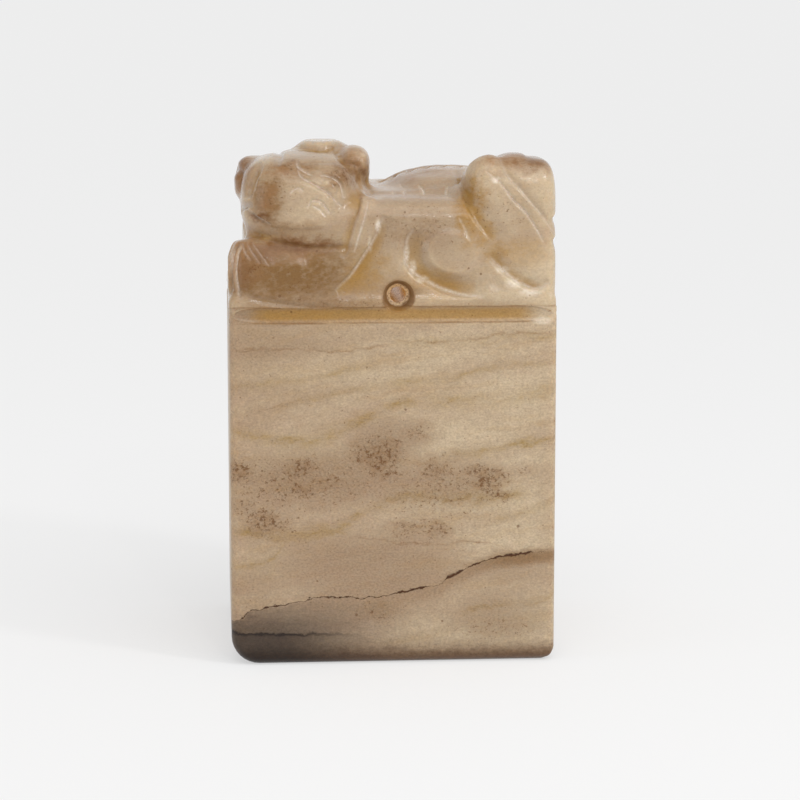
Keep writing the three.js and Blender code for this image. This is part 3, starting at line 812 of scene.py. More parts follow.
@dataclass
class Block:
    """The plain upright block, the groove round its top and the pattern on the seal face.

    Attributes:
        upright_round: the radius of the upright edges.
        foot_round: the radius of the edges at the foot.
        worn_round: the radius of the worn edge at the foot of the left side.
        groove_depth: how deep the wheel-cut groove is.
        groove_height: how tall the groove is.
        groove_run_out: over how much of its length it gets shallow at each end.
        groove_stops_short: how far from the corners it starts to get shallow.
        engraving: how far the ground of the seal face is cut back.
        border: the width of the pattern's border.
        cross: the width of the cross.
        stroke: the width of a raised stroke.
        gap: the width of the ground between strokes.
    """

    upright_round: float = 0.75
    foot_round: float = 1.4
    worn_round: float = 2.8
    groove_depth: float = 0.3
    groove_height: float = 1.6
    groove_run_out: float = 3.0
    groove_stops_short: float = 3.4
    engraving: float = 0.8
    border: float = 1.6
    cross: float = 1.2
    stroke: float = 1.1
    gap: float = 1.1

    def __post_init__(self) -> None:
        """Takes the block's size from the frame."""
        self.low, _ = corners("seal_face")
        _, self.high = corners("waist")

    def body(self) -> Piece:
        """Builds the block with its rounded edges.

        Returns:
            The block.
        """
        shape = bmesh.new()
        bmesh.ops.create_cube(shape, size=1)
        size = self.high - self.low
        middle = Matrix.Translation((self.low + self.high) / 2)
        bmesh.ops.transform(shape, matrix=middle @ Matrix.Diagonal((*size, 1)), verts=shape.verts)
        worn = [edge for edge in shape.edges if all(v.co.z < 1 and v.co.x < 0 for v in edge.verts)]
        round_off(shape, worn, self.worn_round, 8)
        weights = shape.edges.layers.float.new("bevel_weight_edge")
        above_foot = self.worn_round + CLEARANCE
        for edge in shape.edges:
            start, end = (vert.co for vert in edge.verts)
            one_depth = abs(start.y - end.y) < TOUCH
            if max(start.z, end.z) < above_foot and (one_depth or min(start.x, end.x) > 0):
                edge[weights] = 1.0
            elif abs(start.z - end.z) > size.z / 2:
                edge[weights] = self.upright_round / self.foot_round
        piece = piece_of("block", shape)
        bevel = piece.modifiers.new("round", "BEVEL")
        bevel.limit_method = "WEIGHT"
        bevel.width = self.foot_round
        bevel.segments = 6
        bevel.profile = 0.5
        settle(piece)
        return piece

    def groove(self, turned_round: bool, side: int) -> Piece:
        """Makes the cutter of the groove on one side.

        Args:
            turned_round: whether the side faces along X.
            side: -1 for the low side of its axis and 1 for the high one.

        Returns:
            The cutter.
        """
        half = self.high.y if turned_round else self.high.x
        across = self.high.x if turned_round else self.high.y
        shape = bmesh.new()
        bmesh.ops.create_uvsphere(shape, u_segments=24, v_segments=15, radius=1)
        bmesh.ops.transform(shape, matrix=Matrix.Rotation(math.pi / 2, 4, "Y"), verts=shape.verts)
        for vert in shape.verts:
            stretch = math.copysign(half - self.groove_stops_short, vert.co.x)
            vert.co.x = vert.co.x * self.groove_run_out + stretch
            vert.co.y = vert.co.y * self.groove_depth + side * across
            vert.co.z = vert.co.z * self.groove_height / 2
        if turned_round:
            bmesh.ops.transform(shape, matrix=Matrix.Rotation(-math.pi / 2, 4, "Z"), verts=shape.verts)
        bmesh.ops.translate(shape, vec=(0, 0, GROOVE_MIDDLE), verts=shape.verts)
        return piece_of("groove", shape)

    def spiral(self, width: float, height: float) -> list[tuple[float, float]]:
        """Finds the corners of a square spiral that winds in from the corner at 0, 0.

        Args:
            width: the length of its first run.
            height: the length of its second run.

        Returns:
            Its corners.
        """
        pitch = self.stroke + self.gap
        points = [(0.0, 0.0)]
        turn = 0
        while True:
            level = turn % 2 == 0
            lost = max(0.0, turn / 2 - 1) if level else (turn - 1) / 2
            length = (width if level else height) - lost * pitch
            if length < pitch:
                return points
            forward = length if turn % 4 < 2 else -length
            x, y = points[-1]
            points.append((x + forward, y) if level else (x, y + forward))
            turn += 1

    def strokes(self) -> list[tuple[float, float, float, float]]:
        """Finds the raised strokes of the pattern.

        Returns:
            The strokes as boxes: low x, low y, high x and high y.
        """
        field_x = self.high.x - self.foot_round - self.border
        field_y = self.high.y - self.foot_round - self.border
        half = self.stroke / 2
        inner = self.cross / 2 + self.gap + half
        boxes = [
            (-self.cross / 2, -field_y, self.cross / 2, field_y),
            (-field_x, -self.cross / 2, field_x, self.cross / 2),
        ]
        runs = self.spiral(field_x - self.gap - half - inner, field_y - self.gap - half - inner)
        for side_x in (-1, 1):
            for side_y in (-1, 1):
                for start, end in zip(runs, runs[1:]):
                    xs = sorted(side_x * (inner + x) for x in (start[0], end[0]))
                    ys = sorted(side_y * (inner + y) for y in (start[1], end[1]))
                    boxes.append((xs[0] - half, ys[0] - half, xs[1] + half, ys[1] + half))
        return boxes

    def engrave(self, piece: Piece) -> None:
        """Cuts the ground of the seal face back from its raised pattern.

        Args:
            piece: the block.
        """
        field_x = self.high.x - self.foot_round - self.border
        field_y = self.high.y - self.foot_round - self.border
        boxes = self.strokes()
        shape = bmesh.new()
        shape.from_mesh(piece.data)
        for axis, rim, places in ((0, field_x, (0, 2)), (1, field_y, (1, 3))):
            lines = sorted({round(box[i], 4) for box in boxes for i in places} | {-rim, rim})
            for value in lines:
                floor = [face for face in shape.faces if face.normal.z < DOWN]
                geometry = list({item for face in floor for item in (*face.verts, *face.edges, face)})
                normal = Vector((1, 0, 0)) if axis == 0 else Vector((0, 1, 0))
                bmesh.ops.bisect_plane(shape, geom=geometry, plane_co=normal * value, plane_no=normal)
        shape.normal_update()
        ground = []
        for face in shape.faces:
            x, y, _ = face.calc_center_median()
            inside = abs(x) < field_x and abs(y) < field_y
            raised = any(a < x < c and b < y < d for a, b, c, d in boxes)
            if face.normal.z < DOWN and inside and not raised:
                ground.append(face)
        made = bmesh.ops.extrude_face_region(shape, geom=ground)
        bmesh.ops.delete(shape, geom=ground, context="FACES")
        moved = [item for item in made["geom"] if isinstance(item, bmesh.types.BMVert)]
        bmesh.ops.translate(shape, vec=(0, 0, self.engraving), verts=moved)
        bmesh.ops.recalc_face_normals(shape, faces=shape.faces)
        shape.to_mesh(piece.data)
        shape.free()

    def build(self) -> Piece:
        """Makes the block with the pattern on its seal face.

        Returns:
            The block.
        """
        piece = self.body()
        self.engrave(piece)
        return piece


@dataclass
class CordHole:
    """The hole drilled through the beast's belly for a cord, with flared mouths.

    Attributes:
        radius: the radius of the bore.
        throat_radius: the radius at which the mouth gets steep.
        throat_depth: how deep that is.
        mouth_radius: the radius of the mouth at the flank.
        mouth_depth: how deep the mouth is in all.
        flank: how far the flanks lie from the middle.
        beyond: how far the cutter stands out from the flanks.
        middle: where it runs, as X and Z.
    """

    radius: float = 0.8
    throat_radius: float = 1.12
    throat_depth: float = 0.9
    mouth_radius: float = 1.55
    mouth_depth: float = 1.1
    flank: float = 13.7
    beyond: float = 1.2
    middle: tuple[float, float] = (0.5, 37.3)

    def cutter(self) -> Piece:
        """Makes the form that is cut out of the stone.

        Returns:
            The cutter.
        """
        flare = (self.mouth_radius - self.throat_radius) / self.throat_depth
        half = [
            (self.flank + self.beyond, 0.0),
            (self.flank + self.beyond, self.mouth_radius + flare * self.beyond),
            (self.flank, self.mouth_radius),
            (self.flank - self.throat_depth, self.throat_radius),
            (self.flank - self.mouth_depth, self.radius),
        ]
        shape = turned([(-y, radius) for y, radius in half] + half[::-1])
        x, z = self.middle
        bmesh.ops.translate(shape, vec=(x, 0, z), verts=shape.verts)
        return piece_of("cord_hole", shape)


def add(
    tree: Tree, kind: str, inputs: dict[int | str, Value], out: int | str = 0, **settings: str | Tree
) -> Socket:
    """Adds a node to a tree.

    Args:
        tree: the tree.
        kind: the node's kind without ShaderNode before it.
        inputs: what each input gets, a socket to link or a value.
        out: which output is wanted.
        **settings: the node's own settings.

    Returns:
        The output.
    """
    node = tree.nodes.new("ShaderNode" + kind)
    for name, setting in settings.items():
        setattr(node, name, setting)
    for key, value in inputs.items():
        if isinstance(value, Socket):
            tree.links.new(value, node.inputs[key])
        else:
            node.inputs[key].default_value = value
    return node.outputs[out]


def new_group(name: str, inputs: Sequence[tuple[str, str]]) -> tuple[Tree, bpy.types.Node]:
    """Starts a node group with one output called Amount.

    Args:
        name: the group's name.
        inputs: the name and the kind of each input, as Float or Vector.

    Returns:
        The group and the node that gives its inputs.
    """
    group = bpy.data.node_groups.new(name, "ShaderNodeTree")
    for label, kind in inputs:
        group.interface.new_socket(label, in_out="INPUT", socket_type="NodeSocket" + kind)
    group.interface.new_socket("Amount", in_out="OUTPUT", socket_type="NodeSocketFloat")
    return group, group.nodes.new("NodeGroupInput")


def close_group(group: Tree, amount: Socket) -> None:
    """Links a group's result to its output.

    Args:
        group: the group.
        amount: the result.
    """
    group.links.new(amount, group.nodes.new("NodeGroupOutput").inputs[0])


def trace(tree: Tree, share: Socket, points: Points, jagged: bool = False) -> Socket:
    """Gives a line's height above the seal face, or any other value that changes along X.

    Args:
        tree: the tree.
        share: the place along X as a share of the reach to both sides.
        points: the line's points as X and value, in millimetres, from left to right.
        jagged: whether the line has corners at its points.

    Returns:
        The value.
    """
    value = add(tree, "FloatCurve", {1: share})
    mapping = value.node.mapping
    mapping.extend = "HORIZONTAL"
    curve = mapping.curves[0]
    for i, (along, height) in enumerate(points):
        place = ((along + REACH) / (2 * REACH), height / SPAN)
        point = curve.points[i] if i < 2 else curve.points.new(*place)
        point.location = place
        point.handle_type = "VECTOR" if jagged else "AUTO_CLAMPED"
    mapping.update()
    return add(tree, "Math", {0: value, 1: SPAN}, operation="MULTIPLY")


@dataclass(frozen=True)
class Vein:
    """A thin sheet of another colour through the stone, given by its line on the near face.

    Attributes:
        path: the line's points as X and Z, in millimetres, from left to right.
        width: half its width.
        strength: how strongly it colours.
    """

    path: Points
    width: float
    strength: float


@dataclass(frozen=True)
class Blot:
    """A rounded patch in the stone.

    Attributes:
        x: where its middle lies along X, in millimetres.
        z: how high its middle lies.
        width: half its width.
        height: half its height.
        strength: how strongly it colours.
        depth: how far it reaches into the stone from its middle.
        y: where its middle lies along Y.
    """

    x: float
    z: float
    width: float
    height: float
    strength: float
    depth: float = 3.0
    y: float = NEAR_FACE

    @property
    def middle(self) -> Place:
        """Its middle."""
        return self.x, self.y, self.z

    @property
    def size(self) -> Place:
        """Half its width, depth and height."""
        return self.width, self.depth, self.height


@dataclass(frozen=True)
class Ground:
    """What the stone's patterns are drawn on.

    Attributes:
        place: the place in millimetres.
        bed_place: the place, with its height among the beds.
        bent: the place, shaken a little so that patches get uneven outlines.
        x: the place along X.
        z: its height.
        share: its X as a share of the reach of the pattern.
        behind: how far it lies behind the near face.
        level: its height among the beds.
        quick: a wobble of a millimetre or two.
        grain: noise of about half a millimetre.
        stir: noise of a quarter of a millimetre.
        ragged: how strongly patches show.
        breaks: how strongly veins and thin lines show along their way.
        blot: the group that draws a patch.
    """

    place: Socket
    bed_place: Socket
    bent: Socket
    x: Socket
    z: Socket
    share: Socket
    behind: Socket
    level: Socket
    quick: Socket
    grain: Socket
    stir: Socket
    ragged: Socket
    breaks: Socket
    blot: Tree


@dataclass(frozen=True)
class Jade:
    """Old nephrite jade, sawn and then polished: waxy, slightly translucent, bedded and stained.

    The beds rise gently to the right. Honey veins follow them, brown specks gather in clusters, and a
    dark crack crosses the foot, with a smoky stain under it that has a slit of its own. Hollows keep a
    honey tone, and the high places keep the russet skin of the pebble. The polish is worn, so the sheen
    is soft and broad, and it is duller on the sawn block than on the beast. Painted highlights lie on the
    convex edges, along some carved lines and on the topknot, painted shade lies under the chin, in some
    creases and along the groove's edges, and the cord hole has a painted glow.

    Attributes:
        rosy, body, pale: the colours of the plain stone, the last that of its lighter clouds.
        honey: the colour of the wisps, the hollows and the groove.
        deep_honey: the colour of the deepest hollows.
        russet, ruddy_and_shade: the colours of the pebble's skin, and of its darkest places and of painted
            shade.
        streak, thread_and_shade: the colours of the veins, of the threads and of the painted shade along the
            groove's edges.
        speck, halo: the colours of a speck, and of the stone round specks and beside the crack.
        smoke, slit, crack_colour: the colours of the stain, its slit and the crack.
        foot: the tint of the foot.
        umber, milky_and_highlight, amber: the colours of the darker, milky and amber patches; the milky
            colour is also painted as a highlight on convex edges and on the topknot.
        rubbed_and_glint: the colour of the places that the polish doesn't reach, which also paints highlights
            on them.
        lit: the colour of the painted glow in the cord hole.
        dip: how far the beds sink for each millimetre behind the near face.
        veins: the honey veins.
        threads: the thin brown ones.
        crack: the height of the crack along X.
        crack_width: half its width along X.
        halo_strength: how strongly the stone beside the crack is browned.
        stain_line: the upper edge of the stain, where the slit runs.
        stain_strength: how dark the stain is along X.
        clusters: where specks gather.
        shades, lights, ambers, washes: darker, milky, amber and honey patches; one milky patch is a painted
            highlight on the topknot.
        russets, dark_skin_and_shade: the russet skin, and its darkest places, some of which are painted shade
            under the chin and in creases.
        rubs_and_glints: places that the polish doesn't reach, painted pale, which also stand for painted
            highlights.
        worked: the height over which the sawn block gives way to the polished beast.
        roughness: the roughness of the block and of the beast.
        rubbed_roughness: what is added to it where the polish doesn't reach.
        ior: the index of refraction of nephrite.
        sheen: the level of the mirror image, which wear has lowered.
        depth_share: how much of the light goes through the stone below its surface.
        depth_reach: how far red, green and blue light goes there, in millimetres.
        relief: the height of the finest grain, in metres.
        relief_share: how much of that grain is seen.
    """

    rosy: str = "#a38a71"
    body: str = "#a28b70"
    pale: str = "#b9a68b"
    honey: str = "#9d7637"
    deep_honey: str = "#875726"
    russet: str = "#8d6843"
    thread_and_shade: str = "#80603f"
    speck: str = "#603a14"
    smoke: str = "#2b1f1a"
    crack_colour: str = "#46270f"
    slit: str = "#1d120d"
    halo: str = "#7d5d3a"
    foot: str = "#a08c7e"
    lit: str = "#7b5422"
    rubbed_and_glint: str = "#e0d4c4"
    ruddy_and_shade: str = "#6d4723"
    streak: str = "#8c6f35"
    umber: str = "#7d6046"
    milky_and_highlight: str = "#c6b498"
    amber: str = "#7b5b34"
    dip: float = 0.1
    worked: tuple[float, float] = (34.0, 37.0)
    roughness: tuple[float, float] = (0.32, 0.12)
    rubbed_roughness: float = 0.25
    ior: float = 1.6
    sheen: float = 0.2
    depth_share: float = 0.4
    depth_reach: Place = (2.4, 1.5, 0.8)
    relief: float = 0.0001
    relief_share: float = 0.25
    veins: tuple[Vein, ...] = (
        Vein(((-16.1, 28.3), (-12.1, 28.85), (-7.1, 29.35), (-4.1, 30.1), (-2.0, 30.4)), 0.42, 0.34),
        Vein(
            (
                (-11.6, 26.1), (-9.1, 26.85), (-4.6, 27.85), (0.4, 28.6), (5.4, 29.0), (11.2, 30.3),
                (16.1, 30.4),
            ),
            0.34, 0.4,
        ),
        Vein(((3.0, 27.0), (8.6, 26.8), (12.9, 27.2), (16.2, 28.0)), 0.8, 0.36),
        Vein(
            (
                (-16.1, 23.9), (-13.3, 23.4), (-10.8, 22.8), (-7.1, 23.2), (-4.1, 24.4), (-1.1, 26.1),
                (2.4, 26.8),
            ),
            0.6, 0.5,
        ),
        Vein(((5.4, 21.6), (7.9, 21.5), (10.4, 22.0), (12.9, 22.4), (16.1, 22.9)), 0.38, 0.5),
        Vein(
            (
                (-15.9, 13.9), (-13.4, 13.7), (-10.8, 13.2), (-7.1, 13.7), (-5.1, 14.1), (-3.6, 15.4),
                (-1.6, 16.3), (1.2, 17.1), (5.4, 17.0), (9.2, 16.8), (12.9, 17.2),
            ),
            0.58, 0.52,
        ),
        Vein(((9.9, 14.3), (12.9, 15.4), (16.2, 16.6)), 0.45, 0.34),
        Vein(((-15.9, 10.2), (-12.1, 11.1), (-10.8, 12.7)), 0.25, 0.4),
        Vein(((7.0, 5.2), (8.9, 5.6), (11.7, 5.9), (14.2, 6.2), (16.1, 6.9)), 0.45, 0.5),
        Vein(((0.4, 32.7), (7.9, 32.6), (10.4, 33.1), (16.1, 33.4)), 0.5, 0.34),
    )
    threads: tuple[Vein, ...] = (
        Vein(((-15.9, 32.1), (-11.4, 32.1), (-9.0, 32.0), (-5.1, 31.8), (-1.1, 32.4)), 0.13, 0.55),
        Vein(((0.4, 33.0), (4.2, 32.6), (7.9, 32.9), (10.4, 33.4), (16.1, 33.6)), 0.1, 0.5),
        Vein(((-3.9, 13.1), (-1.1, 12.7), (3.7, 12.3), (7.9, 12.5), (11.0, 11.9)), 0.12, 0.45),
        Vein(((-13.5, 26.0), (-11.0, 26.5), (-8.8, 27.0)), 0.1, 0.3),
    )
    crack: Points = (
        (-16.3, 4.5), (-15.7, 4.7), (-14.7, 5.35), (-14.35, 5.7), (-12.85, 6.0), (-10.35, 6.35), (-8.6, 6.85),
        (-7.1, 7.0), (-6.35, 6.9), (-3.1, 6.85), (-1.1, 7.0), (0.4, 7.3), (1.9, 7.55), (3.3, 7.8), (4.9, 8.1),
        (5.3, 8.7), (6.15, 9.2), (6.9, 9.5), (8.0, 10.1), (9.15, 10.5), (10.15, 10.85), (12.4, 11.0),
        (13.8, 11.2), (16.3, 11.3),
    )
    crack_width: Points = (
        (-16.3, 0.03), (-14.5, 0.06), (-12.85, 0.08), (-10.0, 0.06), (-8.0, 0.04), (-6.8, 0.09), (-3.0, 0.05),
        (-0.6, 0.05), (0.9, 0.15), (3.0, 0.16), (3.6, 0.02), (5.0, 0.02), (5.6, 0.26), (6.6, 0.2),
        (7.2, 0.02), (8.3, 0.15), (9.4, 0.05), (10.4, 0.14), (13.6, 0.18), (14.1, 0.0),
    )
    halo_strength: Points = (
        (-16.0, 0.1), (-3.0, 0.12), (4.0, 0.25), (8.0, 0.45), (12.0, 0.8), (16.3, 0.75),
    )
    stain_line: Points = (
        (-16.3, 3.35), (-12.1, 3.2), (-9.6, 3.15), (-6.35, 3.2), (-4.1, 3.0), (-2.4, 2.5),
    )
    stain_strength: Points = (
        (-16.3, 1.0), (-12.5, 1.0), (-10.0, 0.95), (-7.5, 0.78), (-4.5, 0.52), (-0.5, 0.26), (4.0, 0.1),
        (12.0, 0.08),
    )
    clusters: tuple[Blot, ...] = (
        Blot(-15.4, 19.9, 2.6, 1.8, 0.85),
        Blot(-9.4, 20.1, 2.6, 1.4, 0.8),
        Blot(-9.3, 17.9, 2.6, 1.8, 0.85),
        Blot(-6.6, 18.6, 3.0, 1.6, 0.6),
        Blot(-1.6, 21.2, 3.6, 2.8, 0.9),
        Blot(-0.4, 19.4, 1.6, 1.2, 0.7),
        Blot(-0.6, 22.6, 2.0, 0.9, 0.75),
        Blot(-3.4, 22.4, 1.6, 0.9, 0.65),
        Blot(2.7, 23.5, 2.6, 1.4, 0.5),
        Blot(4.2, 20.0, 3.0, 2.0, 0.68),
        Blot(9.4, 18.5, 3.0, 2.4, 0.88),
        Blot(10.6, 17.2, 1.8, 1.0, 0.8),
        Blot(8.0, 19.6, 1.8, 0.9, 0.75),
        Blot(-12.6, 14.9, 3.4, 1.9, 0.85),
        Blot(-15.0, 16.6, 2.0, 1.4, 0.6),
        Blot(1.4, 14.2, 3.0, 1.6, 0.65),
        Blot(4.4, 13.7, 2.4, 1.4, 0.72),
        Blot(12.5, 19.4, 3.0, 1.2, 0.4),
        Blot(-9.0, 18.4, 9.5, 4.2, 0.5),
        Blot(5.0, 17.5, 10.0, 4.5, 0.42),
        Blot(-1.5, 5.4, 3.0, 1.4, 0.5),
        Blot(10.0, 3.4, 6.0, 1.6, 0.4),
        Blot(-11.4, 47.4, 3.4, 3.2, 0.35, 4.0),
        Blot(-10.2, 50.2, 3.4, 1.1, 0.6, 4.0),
        Blot(-4.6, 49.4, 3.2, 1.8, 0.65, 6.0, -13.0),
        Blot(-13.8, 40.4, 2.6, 2.6, 0.5, 4.0),
        Blot(-9.0, 38.0, 4.4, 1.6, 0.42, 4.0),
        Blot(-5.0, 36.5, 10.0, 0.8, 0.45),
        Blot(10.5, 46.0, 6.0, 5.0, 0.24, 5.0),
        Blot(2.0, 44.0, 8.0, 4.0, 0.26, 5.0, -13.0),
    )
    shades: tuple[Blot, ...] = (
        Blot(-2.0, 9.5, 13.0, 6.0, 0.42, 14.0),
        Blot(-5.0, 19.5, 13.0, 4.0, 0.34, 10.0),
        Blot(-13.0, 33.0, 9.0, 3.5, 0.24, 10.0),
        Blot(-14.0, 8.0, 6.0, 3.0, 0.2, 10.0),
        Blot(6.0, 19.0, 6.0, 3.0, 0.3, 10.0),
        Blot(12.0, 9.5, 8.0, 2.4, 0.3, 10.0),
        Blot(11.0, 5.5, 7.0, 3.5, 0.34, 10.0),
        Blot(-0.5, 22.8, 6.0, 3.4, 0.4, 10.0),
        Blot(15.6, 20.0, 1.8, 14.0, 0.12, 6.0),
        Blot(2.5, 44.5, 7.0, 4.5, 0.42, 4.0, -13.5),
    )
    lights: tuple[Blot, ...] = (
        Blot(-8.8, 46.2, 4.4, 3.2, 0.35),
        Blot(9.8, 47.4, 3.6, 3.6, 0.35),
        # a painted highlight on the top of the topknot
        Blot(-8.0, 52.2, 4.0, 1.4, 0.35, 5.0, -5.0),
        Blot(13.6, 40.0, 3.0, 3.0, 0.3),
    )
    ambers: tuple[Blot, ...] = (
        Blot(-11.0, 39.8, 12.0, 4.6, 1.05, 5.0),
        Blot(0.5, 37.3, 2.3, 2.1, 0.9, 3.0, -13.5),
        Blot(-12.6, 47.0, 2.6, 5.0, 0.95),
        Blot(-9.6, 50.2, 5.4, 2.2, 0.68),
        Blot(-6.0, 36.6, 9.0, 1.2, 0.5),
        Blot(7.0, 36.5, 8.0, 0.9, 0.3),
        Blot(-5.2, 49.6, 1.6, 2.6, 0.45, 4.0, -13.0),
        Blot(-10.4, 43.9, 5.6, 1.6, 0.5),
        Blot(7.0, 45.6, 1.4, 4.0, 0.3, 4.0, -12.5),
    )
    dark_skin_and_shade: tuple[Blot, ...] = (
        # under the chin and on the paw below it, darker: russet skin with painted shade over it
        Blot(-9.3, 42.3, 6.4, 1.1, 0.9),
        Blot(-13.0, 41.8, 2.6, 1.7, 0.7),
        Blot(-14.8, 39.6, 1.4, 2.6, 0.5),
        Blot(-15.0, 49.4, 1.8, 2.6, 0.6, 8.0, -8.0),
        Blot(14.4, 50.4, 2.8, 1.8, 0.7, 7.0, -11.0),
        Blot(-3.2, 50.0, 2.0, 1.6, 0.4, 6.0, -8.0),
        Blot(-10.0, 35.4, 9.0, 1.2, 0.6),
        Blot(-11.0, 51.0, 3.2, 1.2, 0.6),
        # painted shade in the fold of the cheek and along the left ear's inner edge
        Blot(-13.4, 45.0, 2.2, 0.55, 0.9),
        Blot(-13.4, 49.2, 0.7, 2.0, 0.75),
        Blot(-4.5, 49.2, 2.8, 1.6, 0.5, 5.0, -13.0),
    )
    washes: tuple[Blot, ...] = (
        Blot(-2.4, 39.6, 2.8, 3.6, 0.45),
        Blot(4.0, 38.6, 4.6, 2.2, 0.45),
        Blot(12.6, 41.6, 4.4, 2.0, 0.4),
        Blot(7.6, 46.0, 2.0, 4.8, 0.85, 4.0),
        Blot(8.9, 43.3, 1.5, 1.9, 0.6),
        Blot(10.4, 41.6, 1.9, 1.4, 0.6),
    )
    # places painted pale and rough, which also stand for painted highlights: glints on the shoulder, the
    # haunch, the hock, the tail, the neck and the groove's right end
    rubs_and_glints: tuple[Blot, ...] = (
        Blot(1.3, 41.3, 0.45, 1.6, 0.7),
        Blot(1.9, 40.0, 0.55, 1.1, 0.75),
        Blot(2.9, 38.9, 0.9, 0.5, 0.6),
        Blot(-1.5, 44.2, 0.4, 1.0, 0.85),
        Blot(-2.3, 42.4, 0.35, 1.0, 0.55),
        Blot(10.8, 39.8, 1.0, 0.5, 0.6),
        Blot(12.0, 38.5, 1.2, 0.7, 0.65),
        Blot(13.5, 37.6, 1.4, 0.6, 0.55),
        Blot(10.1, 48.7, 0.6, 0.45, 0.8),
        Blot(-2.1, 47.6, 0.35, 0.6, 0.7, 4.0, -12.0),
        Blot(14.8, 34.7, 1.3, 0.45, 0.6),
    )
    russets: tuple[Blot, ...] = (
        Blot(-15.0, 49.0, 2.4, 3.6, 1.15, 8.0, -6.0),
        Blot(-3.8, 49.8, 2.6, 3.0, 0.9, 8.0, -7.0),
        Blot(-10.6, 50.0, 3.4, 1.2, 0.85, 2.4, -13.6),
        Blot(-12.2, 47.0, 1.4, 2.0, 1.0, 2.4, -13.6),
        Blot(12.0, 51.4, 5.6, 2.6, 0.95, 9.0, -11.0),
        Blot(-14.6, 41.2, 3.2, 3.8, 0.9, 5.0, -13.0),
        Blot(-10.5, 42.0, 5.6, 1.8, 0.9, 4.0, -13.0),
        Blot(3.0, 49.0, 9.0, 2.6, 0.8, 14.0, 0.0),
        Blot(1.5, 47.7, 7.5, 1.5, 0.6, 6.0, -10.5),
        Blot(-8.0, 52.2, 4.4, 1.6, 0.2, 9.0, -8.0),
    )

    @staticmethod
    def noise(tree: Tree, place: Socket, scale: Place, detail: float) -> Socket:
        """Gives smooth noise, whose clouds are one millimetre over the scale wide along each axis.

        Args:
            tree: the material's tree.
            place: the place in millimetres.
            scale: the scale along each axis.
            detail: how many finer layers it has.

        Returns:
            The noise, from 0 to 1.
        """
        squeezed = add(tree, "VectorMath", {0: place, 1: scale}, operation="MULTIPLY")
        return add(tree, "TexNoise", {"Vector": squeezed, "Scale": 1.0, "Detail": detail, "Roughness": 0.62})

    @staticmethod
    def vein_group() -> Tree:
        """Makes the group that gives the strength of a sheet through the stone.

        Returns:
            The group.
        """
        group, start = new_group(
            "vein", [(name, "Float") for name in ("Offset", "X", "Width", "From", "To", "Strength")]
        )
        offset, x, width, low, high, strength = start.outputs[:6]
        share = add(group, "Math", {0: offset, 1: width}, operation="DIVIDE")
        squared = add(group, "Math", {0: share, 1: share}, operation="MULTIPLY")
        bell = add(group, "Math", {0: 0.37, 1: squared}, operation="POWER")
        before = add(group, "Math", {0: x, 1: low}, operation="SUBTRACT")
        after = add(group, "Math", {0: high, 1: x}, operation="SUBTRACT")
        inside = add(group, "Math", {0: before, 1: after}, operation="MINIMUM")
        mask = add(group, "MapRange", {0: inside, 1: -1.2, 2: 1.2}, interpolation_type="SMOOTHSTEP")
        amount = add(group, "Math", {0: bell, 1: mask}, operation="MULTIPLY")
        close_group(group, add(group, "Math", {0: amount, 1: strength}, operation="MULTIPLY"))
        return group

    @staticmethod
    def blot_group() -> Tree:
        """Makes the group that gives the strength of a rounded patch.

        Returns:
            The group.
        """
        group, start = new_group(
            "blot", [("Place", "Vector"), ("Middle", "Vector"), ("Size", "Vector"), ("Strength", "Float")]
        )
        place, middle, size, strength = start.outputs[:4]
        away = add(group, "VectorMath", {0: place, 1: middle}, operation="SUBTRACT")
        share = add(group, "VectorMath", {0: away, 1: size}, operation="DIVIDE")
        length = add(group, "VectorMath", {0: share}, "Value", operation="LENGTH")
        bell = add(
            group, "MapRange", {0: length, 1: 0.2, 2: 1.1, 3: 1.0, 4: 0.0}, interpolation_type="SMOOTHSTEP"
        )
        close_group(group, add(group, "Math", {0: bell, 1: strength}, operation="MULTIPLY"))
        return group

    def ground(self, tree: Tree) -> Ground:
        """Lays out the places and the noise that the patterns are drawn on.

        Args:
            tree: the material's tree.

        Returns:
            The ground.
        """
        origin = add(tree, "TexCoord", {}, "Object")
        place = add(tree, "VectorMath", {0: origin, "Scale": 1 / MM}, operation="SCALE")
        x, y, z = add(tree, "SeparateXYZ", {0: place}).node.outputs
        behind = add(tree, "Math", {0: y, 1: NEAR_FACE}, operation="SUBTRACT")
        quick = self.noise(tree, place, (0.6, 0.6, 0.9), 4.0)
        quick = add(tree, "MapRange", {0: quick, 3: -1.0, 4: 1.0})
        wander = add(tree, "CombineXYZ", {0: quick, 1: quick, 2: quick})

        # the height among the beds, which dip to the far side, and wander except on the near face
        slow = self.noise(tree, place, (0.09, 0.09, 0.09), 2.0)
        slow = add(tree, "MapRange", {0: slow, 3: -4.0, 4: 4.0})
        fade = add(tree, "MapRange", {0: behind, 1: 0.5, 2: 12.0})
        slow = add(tree, "Math", {0: slow, 1: fade}, operation="MULTIPLY")
        level = add(tree, "Math", {0: behind, 1: -self.dip, 2: z}, operation="MULTIPLY_ADD")
        level = add(tree, "Math", {0: level, 1: slow}, operation="ADD")
        level = add(tree, "Math", {0: quick, 1: 0.7, 2: level}, operation="MULTIPLY_ADD")
        bed = add(tree, "Math", {0: x, 1: -0.12, 2: level}, operation="MULTIPLY_ADD")
        bed_place = add(tree, "CombineXYZ", {0: x, 1: y, 2: bed})

